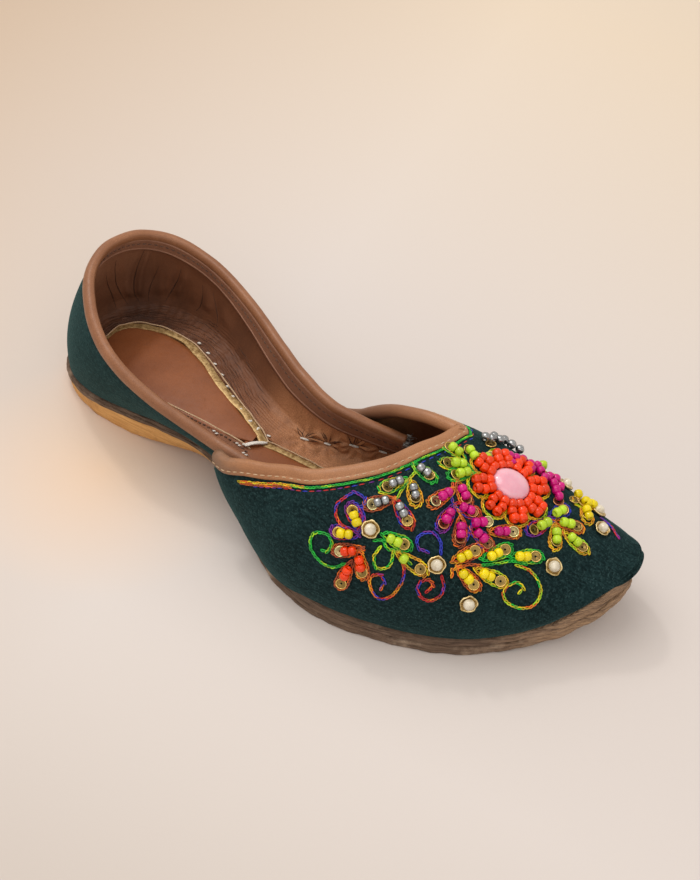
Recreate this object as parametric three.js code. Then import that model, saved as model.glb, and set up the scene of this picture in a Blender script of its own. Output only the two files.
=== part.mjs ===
// A woman's flat mojari slip-on for the right foot: a hollow cloth vamp and quarter with rolled leather
// bindings, on a layered leather sole with a wedge heel lift.
// Millimetres. +X towards the toe, +Y towards the medial side (the big toe), +Z up.
import * as THREE from 'three';

// Driving dimensions
const soleLength = 242;
const ballWidth = 87;
const instepHeight = 55;
const collarHeight = 56;
const upperWall = 2;
const gap = 0.35;

// The tables below are drawn for this pattern size, and stretched to the driving dimensions.
const pattern = { length: 242, ballWidth: 87, instep: 55, collar: 56 };
const alongScale = soleLength / pattern.length;
const acrossScale = ballWidth / pattern.ballWidth;
const instepScale = instepHeight / pattern.instep;
const collarScale = collarHeight / pattern.collar;

// Outline of the sole seen from above: from the heel back, along the lateral side to the toe, and back
// along the medial side.
const outlineRows = [
  { x: 0, y: 0 }, { x: 2.5, y: -13 }, { x: 11, y: -23 }, { x: 24, y: -28.5 }, { x: 42, y: -30 },
  { x: 60, y: -29.5 }, { x: 78, y: -29.5 }, { x: 93, y: -34 }, { x: 108, y: -45 }, { x: 121, y: -54 },
  { x: 135, y: -60.3 }, { x: 153, y: -63 }, { x: 171, y: -60.2 }, { x: 187, y: -55.4 },
  { x: 200, y: -49.2 }, { x: 212, y: -40.4 }, { x: 223, y: -30.6 }, { x: 231.5, y: -21 }, { x: 238, y: -10.3 },
  { x: 242, y: 0 }, { x: 240, y: 8.5 }, { x: 232, y: 15 }, { x: 218, y: 20 }, { x: 200, y: 23.5 },
  { x: 180, y: 24 }, { x: 160, y: 21.5 }, { x: 140, y: 15.5 }, { x: 122, y: 9 }, { x: 104, y: 4.5 },
  { x: 88, y: 5.5 }, { x: 72, y: 12 }, { x: 56, y: 20.5 }, { x: 40, y: 27 }, { x: 24, y: 28 },
  { x: 11, y: 22.5 }, { x: 2.5, y: 12.5 },
].map((row) => ({ x: row.x * alongScale, y: row.y * acrossScale }));

// Heights along the sole: underside of the outsole, thickness of the outsole and of the rand on it.
const soleRows = [
  { x: 0, under: 5, outsole: 1.5, rand: 1.4 },
  { x: 12, under: 6, outsole: 1.5, rand: 1.4 },
  { x: 24, under: 7.6, outsole: 1.5, rand: 1.4 },
  { x: 36, under: 9.2, outsole: 1.5, rand: 1.4 },
  { x: 48, under: 10.6, outsole: 1.5, rand: 1.4 },
  { x: 60, under: 11.4, outsole: 1.6, rand: 1.4 },
  { x: 72, under: 11.4, outsole: 1.7, rand: 1.4 },
  { x: 84, under: 10.3, outsole: 2, rand: 1.6 },
  { x: 98, under: 7.3, outsole: 2.6, rand: 2 },
  { x: 112, under: 3.6, outsole: 3.4, rand: 2.5 },
  { x: 124, under: 0.9, outsole: 4, rand: 2.8 },
  { x: 132, under: 0, outsole: 4.2, rand: 2.9 },
  { x: 204, under: 0, outsole: 4.2, rand: 2.9 },
  { x: 214, under: 0.5, outsole: 4.2, rand: 2.9 },
  { x: 223, under: 1.7, outsole: 4.1, rand: 2.9 },
  { x: 231, under: 4.8, outsole: 3.9, rand: 2.8 },
  { x: 238, under: 10.4, outsole: 3.6, rand: 2.6 },
  { x: 242, under: 14.6, outsole: 3.4, rand: 2.4 },
].map((row) => ({ ...row, x: row.x * alongScale }));

// Underside of the heel lift: flat on the floor, then rising to meet the outsole.
const liftRows = [
  { x: 0, under: 0 }, { x: 44, under: 0 }, { x: 52, under: 1.2 }, { x: 60, under: 3.2 },
  { x: 72, under: 6.3 }, { x: 81, under: 8.3 }, { x: 89, under: 8.6 },
].map((row) => ({ ...row, x: row.x * alongScale }));

// Spine of the vamp, where its two sides meet: tilt is its slope towards the medial side.
const spineRows = [
  { x: 90, y: -5.5, z: 41.5, tilt: -0.45 },
  { x: 114, y: -4, z: 43, tilt: -0.45 },
  { x: 130, y: -2, z: 45, tilt: -0.45 },
  { x: 145, y: 0.5, z: 48.4, tilt: -0.4 },
  { x: 156, y: 1.5, z: 50.6, tilt: -0.33 },
  { x: 168, y: 2, z: 51, tilt: -0.28 },
  { x: 180, y: 2.5, z: 48.8, tilt: -0.23 },
  { x: 192, y: 3, z: 45.2, tilt: -0.18 },
  { x: 205, y: 3.5, z: 40.6, tilt: -0.12 },
  { x: 216, y: 4.3, z: 36.4, tilt: -0.08 },
  { x: 226, y: 4.6, z: 32.8, tilt: -0.03 },
  { x: 232, y: 4.4, z: 30.6, tilt: 0 },
].map((row) => ({
  x: row.x * alongScale, y: row.y * acrossScale, z: row.z * instepScale, tilt: row.tilt,
}));

// Sides of the vamp: ledge is how far its foot stands inside the sole's edge, flare how far its belly
// stands outside the foot, belly the height of that widest place above the foot, and throat the share of
// the way from belly to spine where the throat cuts it (1 is uncut).
const lateralRows = [
  { x: 101, ledge: 0.8, flare: 8.4, belly: 20, throat: 0.02 },
  { x: 106, ledge: 1, flare: 6.8, belly: 18, throat: 0.1 },
  { x: 115, ledge: 1.2, flare: 3.6, belly: 14, throat: 0.28 },
  { x: 126, ledge: 1.3, flare: 1.7, belly: 9, throat: 0.42 },
  { x: 136, ledge: 1.4, flare: 1.3, belly: 7, throat: 0.48 },
  { x: 145, ledge: 1.4, flare: 1.1, belly: 6, throat: 0.55 },
  { x: 153, ledge: 1.4, flare: 1.1, belly: 6, throat: 0.63 },
  { x: 157.5, ledge: 1.4, flare: 1.1, belly: 6, throat: 0.7 },
  { x: 163, ledge: 1.4, flare: 1.1, belly: 6, throat: 0.82 },
  { x: 167, ledge: 1.4, flare: 1.1, belly: 6, throat: 0.92 },
  { x: 169, ledge: 1.4, flare: 1.1, belly: 6, throat: 1 },
  { x: 205, ledge: 1.4, flare: 1.3, belly: 6, throat: 1 },
  { x: 225, ledge: 1.6, flare: 1.6, belly: 5, throat: 1 },
  { x: 232, ledge: 2.6, flare: 2.2, belly: 4, throat: 1 },
  { x: 238, ledge: 4.4, flare: 3.8, belly: 5, throat: 1 },
  { x: 243, ledge: 3, flare: 3.6, belly: 5.5, throat: 1 },
];
const medialRows = [
  { x: 112, ledge: 1, flare: 2.2, belly: 12, throat: 0.16 },
  { x: 119, ledge: 1, flare: 1.8, belly: 11, throat: 0.2 },
  { x: 126, ledge: 1.1, flare: 1.5, belly: 10, throat: 0.3 },
  { x: 131, ledge: 1.2, flare: 1.3, belly: 9, throat: 0.46 },
  { x: 137, ledge: 1.3, flare: 1.2, belly: 8, throat: 0.62 },
  { x: 147, ledge: 1.4, flare: 1.1, belly: 7, throat: 0.83 },
  { x: 156, ledge: 1.5, flare: 1.1, belly: 7, throat: 0.89 },
  { x: 163, ledge: 1.5, flare: 1.1, belly: 7, throat: 0.905 },
  { x: 167, ledge: 1.5, flare: 1.1, belly: 7, throat: 0.93 },
  { x: 169, ledge: 1.5, flare: 1.1, belly: 7, throat: 1 },
  { x: 205, ledge: 1.5, flare: 1.4, belly: 6, throat: 1 },
  { x: 225, ledge: 1.6, flare: 2.2, belly: 5, throat: 1 },
  { x: 236, ledge: 2.4, flare: 3.8, belly: 5, throat: 1 },
  { x: 243, ledge: 3, flare: 3.6, belly: 5.5, throat: 1 },
];
const throatApexX = 169;
const wings = {
  lateral: { tipX: 101, footX: 116, endRise: 6 },
  medial: { tipX: 112, footX: 128, endRise: 6 },
};

// Quarter, from its lateral front end round the heel to its medial front end: foot x and y, bulge of the
// wall halfway up, and the rim's place and height.
const quarterRows = [
  { x: 146, y: -58.4, bulge: 0.6, rimX: 144, rimY: -45, rimZ: 29 },
  { x: 132, y: -54.6, bulge: 0.6, rimX: 131, rimY: -44.6, rimZ: 31 },
  { x: 118, y: -47.2, bulge: 0.7, rimX: 118, rimY: -43.2, rimZ: 32 },
  { x: 105, y: -39.2, bulge: 1, rimX: 105, rimY: -40.8, rimZ: 32.4 },
  { x: 92, y: -32.2, bulge: 1.8, rimX: 92, rimY: -39.6, rimZ: 33 },
  { x: 78, y: -28.7, bulge: 2.4, rimX: 79, rimY: -39.3, rimZ: 35.3 },
  { x: 60, y: -28.7, bulge: 2.4, rimX: 62, rimY: -39, rimZ: 39.3 },
  { x: 42, y: -29.2, bulge: 2.4, rimX: 46.3, rimY: -36.7, rimZ: 43.8 },
  { x: 25, y: -27.7, bulge: 2.8, rimX: 33.8, rimY: -31.5, rimZ: 48 },
  { x: 11.8, y: -22.2, bulge: 3.2, rimX: 23.5, rimY: -23.3, rimZ: 52 },
  { x: 3.5, y: -12.6, bulge: 3.4, rimX: 14.8, rimY: -12.2, rimZ: 55 },
  { x: 1, y: 0, bulge: 3.4, rimX: 10.8, rimY: 0.5, rimZ: 56 },
  { x: 3.5, y: 12.1, bulge: 3.2, rimX: 11.3, rimY: 12.5, rimZ: 54.5 },
  { x: 11.8, y: 21.6, bulge: 2.8, rimX: 15.4, rimY: 22.5, rimZ: 52 },
  { x: 24.2, y: 27, bulge: 2.4, rimX: 23.6, rimY: 28.8, rimZ: 49.5 },
  { x: 39.7, y: 26.1, bulge: 2.2, rimX: 36.8, rimY: 31, rimZ: 46.5 },
  { x: 55.6, y: 19.6, bulge: 2.2, rimX: 52.3, rimY: 28.2, rimZ: 44 },
  { x: 71.7, y: 11.1, bulge: 2, rimX: 69.3, rimY: 21.3, rimZ: 42 },
  { x: 87.6, y: 4.6, bulge: 1.6, rimX: 86.5, rimY: 11.9, rimZ: 40.3 },
  { x: 103.5, y: 2.2, bulge: 0.9, rimX: 102.8, rimY: 3.6, rimZ: 39 },
  { x: 118, y: 3.6, bulge: 0.6, rimX: 118, rimY: -1, rimZ: 37.4 },
  { x: 132, y: 8.2, bulge: 0.5, rimX: 132, rimY: 0.2, rimZ: 35.2 },
  { x: 146, y: 13, bulge: 0.5, rimX: 147, rimY: 3.6, rimZ: 32.2 },
].map((row) => ({
  x: row.x * alongScale, y: row.y * acrossScale, bulge: row.bulge,
  rimX: row.rimX * alongScale, rimY: row.rimY * acrossScale, rimZ: row.rimZ * collarScale,
}));

// Rolled binding: half thickness, height of its round top above the edge it wraps, depth of its legs.
const bindingHalf = 2.2;
const bindingCrown = 1.8;
const bindingLeg = 3.6;
const bindingSlack = 0.5;
const liftEndX = 89;
const liftBevel = 1.4;
const insoleInset = 9.5;
const insoleThickness = 2.2;
const sockThickness = 1.2;
const sockSteps = 24;
const sockRows = [
  { x: 15, lateral: -4.5, medial: 2.5 },
  { x: 17, lateral: -9.5, medial: 6.3 },
  { x: 22, lateral: -13.5, medial: 9.4 },
  { x: 31, lateral: -17, medial: 10.8 },
  { x: 42, lateral: -19, medial: 9.4 },
  { x: 55, lateral: -19.8, medial: 4.6 },
  { x: 68, lateral: -19.8, medial: -2.4 },
  { x: 82, lateral: -19.3, medial: -9.4 },
  { x: 94, lateral: -17.2, medial: -14.6 },
].map((row) => ({
  x: row.x * alongScale, lateral: row.lateral * acrossScale, medial: row.medial * acrossScale,
}));
const stone = { x: 192.5, up: 1.88, long: 14.5, wide: 12.5, high: 4.2, turn: 0.5 };

// Steps of the faceted surfaces
const wingSteps = 16;
const throatCrowding = 1.5;
const toeSteps = 22;
const upSteps = 12;
const quarterSteps = 58;
const quarterUpSteps = 7;
const plateSteps = 46;

// Tangent of a table at one row. A height table keeps flat stretches flat.
function tangentAt(rows, knots, index, column, steady) {
  const last = rows.length - 1;
  if (index === 0) return (rows[1][column] - rows[0][column]) / (knots[1] - knots[0]);
  if (index === last) return (rows[last][column] - rows[last - 1][column]) / (knots[last] - knots[last - 1]);
  const before = knots[index] - knots[index - 1];
  const after = knots[index + 1] - knots[index];
  const slopeIn = (rows[index][column] - rows[index - 1][column]) / before;
  const slopeOut = (rows[index + 1][column] - rows[index][column]) / after;
  if (!steady) return (slopeIn * after + slopeOut * before) / (before + after);
  if (slopeIn * slopeOut <= 0) return 0;
  return (2 * slopeIn * slopeOut) / (slopeIn + slopeOut);
}

// Smooth curve through a table's rows, read at one knot value, for every named column.
function readTable(rows, knots, at, steady = false) {
  const clamped = Math.min(Math.max(at, knots[0]), knots[knots.length - 1]);
  let index = 0;
  while (index < rows.length - 2 && clamped > knots[index + 1]) index += 1;
  const span = knots[index + 1] - knots[index];
  const s = (clamped - knots[index]) / span;
  const result = {};
  for (const column of Object.keys(rows[0])) {
    const start = rows[index][column];
    const end = rows[index + 1][column];
    const leave = tangentAt(rows, knots, index, column, steady) * span;
    const arrive = tangentAt(rows, knots, index + 1, column, steady) * span;
    result[column] = start * (1 + 2 * s) * (1 - s) ** 2 + end * s * s * (3 - 2 * s)
      + leave * s * (1 - s) ** 2 - arrive * s * s * (1 - s);
  }
  return result;
}

const byX = (rows) => rows.map((row) => row.x);
const readX = (rows, x) => readTable(rows, byX(rows), x, true);
const soleTop = (x) => {
  const row = readX(soleRows, x);
  return row.under + row.outsole + gap + row.rand;
};

// Knots of an outline: the distance walked from row to row.
function walked(rows) {
  const knots = [0];
  for (let i = 1; i < rows.length; i += 1) {
    const step = Math.hypot(rows[i].x - rows[i - 1].x, rows[i].y - rows[i - 1].y);
    knots.push(knots[i - 1] + step);
  }
  return knots;
}

// The sole outline as a closed curve: three rows are repeated past each end, so that it closes smoothly.
const outlineLoop = [...outlineRows.slice(-3), ...outlineRows, ...outlineRows.slice(0, 4)];
const outlineKnots = walked(outlineLoop);
const outlineStart = outlineKnots[3];
const outlineLength = outlineKnots[3 + outlineRows.length] - outlineStart;
const toeRow = outlineRows.findIndex((row) => row.x === Math.max(...byX(outlineRows)));
const toeShare = (outlineKnots[3 + toeRow] - outlineStart) / outlineLength;

// Point and outward direction of the outline at a share of its length, moved in by inset.
function outlinePoint(share, inset = 0) {
  const wrapped = share - Math.floor(share);
  const at = outlineStart + wrapped * outlineLength;
  const here = readTable(outlineLoop, outlineKnots, at);
  const next = readTable(outlineLoop, outlineKnots, at + 0.05);
  const run = Math.hypot(next.x - here.x, next.y - here.y);
  const outX = (next.y - here.y) / run;
  const outY = -(next.x - here.x) / run;
  return { x: here.x - outX * inset, y: here.y - outY * inset, outX, outY };
}

// Share of the outline at a given x on one side, found by halving.
function outlineShare(x, side) {
  let low = side === 'lateral' ? 0 : toeShare;
  let high = side === 'lateral' ? toeShare : 1;
  for (let i = 0; i < 40; i += 1) {
    const middle = (low + high) / 2;
    const ahead = outlinePoint(middle).x > x;
    if ((side === 'lateral') === ahead) high = middle;
    else low = middle;
  }
  return (low + high) / 2;
}

// Point of the vamp's outside. share: place round the sole outline. up: 0 at the foot, 1 at the belly,
// 2 at the spine.
function vampPoint(share, up) {
  const edge = outlinePoint(share);
  const rows = share < toeShare ? lateralRows : medialRows;
  const side = readX(rows, edge.x / alongScale);
  const foot = {
    x: edge.x - edge.outX * side.ledge, y: edge.y - edge.outY * side.ledge, z: soleTop(edge.x) + gap,
  };
  const belly = {
    x: foot.x + edge.outX * side.flare, y: foot.y + edge.outY * side.flare, z: foot.z + side.belly,
  };
  const quarterTurn = Math.PI / 2;
  if (up <= 1) {
    const out = Math.sin(up * quarterTurn);
    return new THREE.Vector3(
      foot.x + (belly.x - foot.x) * out,
      foot.y + (belly.y - foot.y) * out,
      foot.z + (belly.z - foot.z) * up,
    );
  }
  const spineEnd = spineRows[spineRows.length - 1].x;
  const spine = readX(spineRows, Math.min(edge.x, spineEnd));
  const slope = (readX(spineRows, spine.x).z - readX(spineRows, spine.x - 1).z) * (edge.x > spineEnd ? 1 : 0);
  const turn = (up - 1) * quarterTurn;
  const x = spine.x + (belly.x - spine.x) * Math.cos(turn);
  const y = spine.y + (belly.y - spine.y) * Math.cos(turn);
  const tilt = slope * (x - spine.x) + spine.tilt * (y - spine.y);
  return new THREE.Vector3(x, y, belly.z + (spine.z - belly.z + tilt) * Math.sin(turn));
}

// Lowest and highest up value of the vamp at a share of the outline: the wing's rear edge and the throat.
function vampReach(share) {
  const x = outlinePoint(share).x;
  const rows = share < toeShare ? lateralRows : medialRows;
  const throat = 1 + Math.min(readX(rows, x / alongScale).throat, 1);
  const wing = share < toeShare ? wings.lateral : wings.medial;
  const back = Math.min(Math.max((wing.footX - x / alongScale) / (wing.footX - wing.tipX), 0), 1);
  const footZ = vampPoint(share, 0).z;
  const rimZ = vampPoint(share, throat).z;
  const tipRise = rimZ - footZ - wing.endRise;
  let low = 0;
  let high = throat;
  for (let i = 0; i < 30; i += 1) {
    const middle = (low + high) / 2;
    if (vampPoint(share, middle).z < footZ + tipRise * back) low = middle;
    else high = middle;
  }
  return { low: back > 0 ? low : 0, high: throat };
}

// Point of the quarter's outside. at: distance along its foot. up: 0 at the foot, 1 at the rim.
const quarterKnots = walked(quarterRows);
function quarterPoint(at, up) {
  const row = readTable(quarterRows, quarterKnots, at);
  const next = readTable(quarterRows, quarterKnots, at + 0.05);
  const before = readTable(quarterRows, quarterKnots, at - 0.05);
  const run = Math.hypot(next.x - before.x, next.y - before.y);
  const outX = -(next.y - before.y) / run;
  const outY = (next.x - before.x) / run;
  const out = row.bulge * 4 * up * (1 - up);
  const footZ = soleTop(row.x) + gap;
  return new THREE.Vector3(
    row.x + (row.rimX - row.x) * up + outX * out,
    row.y + (row.rimY - row.y) * up + outY * out,
    footZ + (row.rimZ - footZ) * up,
  );
}

// Open surface through columns of points, each column running up the wall. Points that fall together are
// one vertex, so columns may close on each other.
function openSurface(columns) {
  const points = [];
  const known = new Map();
  const vertexOf = (point) => {
    const key = point.toArray().map((value) => Math.round(value * 1000)).join(' ');
    if (!known.has(key)) {
      known.set(key, points.length);
      points.push(point);
    }
    return known.get(key);
  };
  const faces = [];
  const addFace = (a, b, c) => {
    if (a !== b && b !== c && c !== a) faces.push(a, b, c);
  };
  const grid = columns.map((column) => column.map(vertexOf));
  for (let i = 0; i < grid.length - 1; i += 1) {
    for (let j = 0; j < grid[i].length - 1; j += 1) {
      addFace(grid[i][j], grid[i + 1][j], grid[i + 1][j + 1]);
      addFace(grid[i][j], grid[i + 1][j + 1], grid[i][j + 1]);
    }
  }
  const normals = geometryFrom(points, faces).getAttribute('normal');
  const outward = points.map((point, i) => new THREE.Vector3().fromBufferAttribute(normals, i));
  for (const column of grid) outward[column[0]].setZ(0).normalize();
  return { points, faces, outward, grid };
}

// Closed wall of the given thickness: the surface, its copy moved inwards, and a strip along every edge.
function thicken(surface, thickness) {
  const { points, faces, outward } = surface;
  const inner = points.map((point, i) => point.clone().addScaledVector(outward[i], -thickness));
  const count = points.length;
  const all = [...faces];
  const edges = new Map();
  for (let i = 0; i < faces.length; i += 3) {
    const corners = [faces[i], faces[i + 1], faces[i + 2]];
    all.push(corners[0] + count, corners[2] + count, corners[1] + count);
    corners.forEach((from, k) => edges.set(`${from} ${corners[(k + 1) % 3]}`, [from, corners[(k + 1) % 3]]));
  }
  for (const [from, to] of edges.values()) {
    if (!edges.has(`${to} ${from}`)) all.push(from, from + count, to, to, from + count, to + count);
  }
  return geometryFrom([...points, ...inner], all);
}

function geometryFrom(points, faces) {
  const geometry = new THREE.BufferGeometry();
  const numbers = points.flatMap((point) => [point.x, point.y, point.z]);
  geometry.setAttribute('position', new THREE.Float32BufferAttribute(numbers, 3));
  geometry.setIndex(faces);
  geometry.computeVertexNormals();
  return geometry;
}

// Section of a rolled binding, as [out, up] from the middle of the wall's edge: two legs and a round top.
function bindingSection() {
  const slot = upperWall / 2 + bindingSlack;
  const section = [[-bindingHalf, -bindingLeg]];
  const arcSteps = 6;
  for (let i = 0; i <= arcSteps; i += 1) {
    const turn = Math.PI * (1 - i / arcSteps);
    section.push([bindingHalf * Math.cos(turn), bindingSlack + bindingCrown * Math.sin(turn)]);
  }
  section.push([bindingHalf, -bindingLeg], [slot, -bindingLeg], [slot, bindingSlack]);
  section.push([-slot, bindingSlack], [-slot, -bindingLeg]);
  return section;
}

// Binding swept along the edge of a wall. rim lists the surface's vertices in order along that edge, with
// the wall on their left when seen from outside.
function bindingGeometry(surface, rim) {
  const section = bindingSection();
  const points = [];
  rim.forEach((vertex, i) => {
    const before = surface.points[rim[Math.max(i - 1, 0)]];
    const after = surface.points[rim[Math.min(i + 1, rim.length - 1)]];
    const out = surface.outward[vertex];
    const along = after.clone().sub(before).normalize();
    const up = out.clone().cross(along).normalize();
    const middle = surface.points[vertex].clone().addScaledVector(out, -upperWall / 2);
    for (const [outBy, upBy] of section) {
      points.push(middle.clone().addScaledVector(out, outBy).addScaledVector(up, upBy));
    }
  });
  return sweepGeometry(points, section.length);
}

// Plate lofted through cross-sections from heel to toe, with the sole's outline moved in by an inset at its
// under face and another at its over face.
function plateGeometry(startX, endX, insets, under, over) {
  const points = [];
  for (let i = 0; i <= plateSteps; i += 1) {
    const share = (1 - Math.cos((Math.PI * i) / plateSteps)) / 2;
    const x = startX + (endX - startX) * share;
    const [low, high] = insets;
    points.push(
      new THREE.Vector3(x, edgeAt(x, 'lateral', low), under(x)),
      new THREE.Vector3(x, edgeAt(x, 'medial', low), under(x)),
      new THREE.Vector3(x, edgeAt(x, 'medial', high), over(x)),
      new THREE.Vector3(x, edgeAt(x, 'lateral', high), over(x)),
    );
  }
  return sweepGeometry(points, 4);
}

// y of the outline, moved in by inset, where it crosses x on one side.
function edgeAt(x, side, inset) {
  let low = side === 'lateral' ? 0 : toeShare;
  let high = side === 'lateral' ? toeShare : 1;
  for (let i = 0; i < 40; i += 1) {
    const middle = (low + high) / 2;
    const ahead = outlinePoint(middle, inset).x > x;
    if ((side === 'lateral') === ahead) high = middle;
    else low = middle;
  }
  return outlinePoint((low + high) / 2, inset).y;
}

// Closed body from rings of `sides` points each, capped at both ends.
function sweepGeometry(points, sides) {
  const rings = points.length / sides;
  const faces = [];
  for (let i = 0; i < rings - 1; i += 1) {
    for (let j = 0; j < sides; j += 1) {
      const a = i * sides + j;
      const b = i * sides + ((j + 1) % sides);
      faces.push(a, b, b + sides, a, b + sides, a + sides);
    }
  }
  const outline = [];
  const centre = points.slice(0, sides);
  const axisA = centre[1].clone().sub(centre[0]).normalize();
  const normal = axisA.clone().cross(centre[2].clone().sub(centre[0])).normalize();
  const axisB = normal.clone().cross(axisA);
  for (const point of centre) outline.push(new THREE.Vector2(point.dot(axisA), point.dot(axisB)));
  const caps = THREE.ShapeUtils.triangulateShape(outline, []);
  const last = (rings - 1) * sides;
  for (const [a, b, c] of caps) {
    faces.push(a, c, b);
    faces.push(last + a, last + b, last + c);
  }
  const geometry = geometryFrom(points, faces);
  return signedVolume(geometry) < 0 ? turnedInsideOut(geometry) : geometry;
}

function signedVolume(geometry) {
  const position = geometry.getAttribute('position');
  const index = geometry.getIndex().array;
  const [a, b, c] = [new THREE.Vector3(), new THREE.Vector3(), new THREE.Vector3()];
  let volume = 0;
  for (let i = 0; i < index.length; i += 3) {
    a.fromBufferAttribute(position, index[i]);
    b.fromBufferAttribute(position, index[i + 1]);
    c.fromBufferAttribute(position, index[i + 2]);
    volume += a.dot(b.cross(c)) / 6;
  }
  return volume;
}

function turnedInsideOut(geometry) {
  const index = Array.from(geometry.getIndex().array);
  for (let i = 0; i < index.length; i += 3) [index[i], index[i + 1]] = [index[i + 1], index[i]];
  geometry.setIndex(index);
  geometry.computeVertexNormals();
  return geometry;
}

// Shares of the outline where the vamp has a column: the same x on both sides, so that they meet on the
// spine, and dense where the throat turns.
function vampShares() {
  const sideShares = (side) => {
    const stations = [];
    const { tipX } = wings[side];
    for (let i = 0; i < wingSteps; i += 1) {
      stations.push(throatApexX - (throatApexX - tipX) * (1 - i / wingSteps) ** throatCrowding);
    }
    const toeX = outlineRows[toeRow].x / alongScale;
    for (let i = 0; i < toeSteps; i += 1) {
      stations.push(throatApexX + (toeX - throatApexX) * Math.sin((Math.PI / 2) * (i / toeSteps)));
    }
    return stations.map((x) => outlineShare(x * alongScale, side));
  };
  return [...sideShares('lateral'), toeShare, ...sideShares('medial').reverse()];
}

function vampSurface() {
  const columns = vampShares().map((share) => {
    const reach = vampReach(share);
    const column = [];
    for (let j = 0; j <= upSteps; j += 1) {
      column.push(vampPoint(share, reach.low + (reach.high - reach.low) * (j / upSteps)));
    }
    return column;
  });
  return openSurface(columns);
}

function quarterSurface() {
  const columns = [];
  const whole = quarterKnots[quarterKnots.length - 1];
  for (let i = 0; i <= quarterSteps; i += 1) {
    const column = [];
    for (let j = 0; j <= quarterUpSteps; j += 1) {
      column.push(quarterPoint(whole * (1 - i / quarterSteps), j / quarterUpSteps));
    }
    columns.push(column);
  }
  return openSurface(columns);
}

// Heel sock: a thin leather piece on the insole, round at the heel and pointed at the waist.
function sockGeometry() {
  const points = [];
  for (let i = 0; i <= sockSteps; i += 1) {
    const share = (1 - Math.cos((Math.PI * i) / sockSteps)) / 2;
    const row = readX(sockRows, sockRows[0].x + (sockRows[sockRows.length - 1].x - sockRows[0].x) * share);
    points.push(
      new THREE.Vector3(row.x, row.lateral, sockUnder(row.x)),
      new THREE.Vector3(row.x, row.medial, sockUnder(row.x)),
      new THREE.Vector3(row.x, row.medial, sockUnder(row.x) + sockThickness),
      new THREE.Vector3(row.x, row.lateral, sockUnder(row.x) + sockThickness),
    );
  }
  return sweepGeometry(points, 4);
}

// Domed oval stone standing on the vamp, its foot clear of the cloth.
function stoneGeometry() {
  const profile = [new THREE.Vector2(0, 0), new THREE.Vector2(0.5, 0), new THREE.Vector2(0.5, 0.25)];
  const domeSteps = 5;
  for (let i = 1; i <= domeSteps; i += 1) {
    const turn = (Math.PI / 2) * (i / domeSteps);
    profile.push(new THREE.Vector2(0.5 * Math.cos(turn), 0.25 + 0.75 * Math.sin(turn)));
  }
  profile[profile.length - 1].x = 0;
  const geometry = new THREE.LatheGeometry(profile, 24);
  geometry.rotateX(Math.PI / 2);
  geometry.scale(stone.long, stone.wide, stone.high);
  geometry.rotateZ(stone.turn);
  const share = outlineShare(stone.x * alongScale, 'lateral');
  const middle = vampPoint(share, stone.up);
  const along = vampPoint(outlineShare((stone.x + 1) * alongScale, 'lateral'), stone.up).sub(middle);
  const across = vampPoint(share, stone.up + 0.02).sub(middle);
  const out = along.cross(across).normalize();
  const upright = new THREE.Quaternion().setFromUnitVectors(new THREE.Vector3(0, 0, 1), out);
  geometry.applyQuaternion(upright);
  geometry.translate(...middle.addScaledVector(out, gap).toArray());
  return geometry;
}

function named(name, geometry, colour, roughness) {
  const material = new THREE.MeshStandardMaterial({ color: colour, roughness, metalness: 0 });
  const mesh = new THREE.Mesh(geometry, material);
  mesh.name = name;
  return mesh;
}

const vamp = vampSurface();
const quarter = quarterSurface();
const uncut = 1.9999;
const throatRim = vamp.grid
  .filter((column, i) => vampReach(vampShares()[i]).high < uncut || i === wingSteps)
  .map((column) => column[column.length - 1]);
const collarRim = quarter.grid.map((column) => column[column.length - 1]);
const under = (x) => readX(soleRows, x).under;
const outsoleTop = (x) => under(x) + readX(soleRows, x).outsole;
const insoleUnder = (x) => soleTop(x) + gap;
const sockUnder = (x) => insoleUnder(x) + insoleThickness + gap;

const shoe = new THREE.Group();
shoe.add(
  named('outsole', plateGeometry(0.6, soleLength - 0.8, [0, 0], under, outsoleTop), '#5f4a3a', 0.8),
  named('rand', plateGeometry(1, soleLength - 1.2, [0.4, 0.4], (x) => outsoleTop(x) + gap, soleTop), '#6b5443', 0.8),
  named(
    'heel_lift',
    plateGeometry(
      liftBevel + 0.6, liftEndX * alongScale, [liftBevel, 0.5],
      (x) => readX(liftRows, x).under, (x) => under(x) - gap,
    ),
    '#c48a45', 0.7,
  ),
  named(
    'insole',
    plateGeometry(
      insoleInset + 0.6, soleLength - insoleInset - 1, [insoleInset, insoleInset], insoleUnder,
      (x) => insoleUnder(x) + insoleThickness,
    ),
    '#8a5a3a', 0.7,
  ),
  named('heel_sock', sockGeometry(), '#9a6642', 0.6),
  named('quarter', thicken(quarter, upperWall), '#17322f', 0.9),
  named('vamp', thicken(vamp, upperWall), '#17322f', 0.9),
  named('collar_binding', bindingGeometry(quarter, collarRim), '#9c6b4d', 0.6),
  named('throat_binding', bindingGeometry(vamp, throatRim), '#9c6b4d', 0.6),
  named('centre_stone', stoneGeometry(), '#f0919c', 0.3),
);

// The origin is on the floor, under the middle of the shoe's box.
const middleX = 121.66 * alongScale;
const middleY = -15.28 * acrossScale;
shoe.position.set(-middleX, -middleY, 0);
export default shoe;
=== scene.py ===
"""A woman's flat mojari slip-on for the right foot, dressed over its CAD frame.

Shapes are drawn in pattern millimetres: x from the heel's back to the toe, y towards the medial side (the
big toe), z up from the floor. They are set down in the frame, in metres, by `placed`.
"""
import random
from math import atan2, cos, exp, floor, hypot, pi, radians, sin

import bpy
import numpy as np
from mathutils import Matrix, Vector, noise
from mathutils.bvhtree import BVHTree


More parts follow.
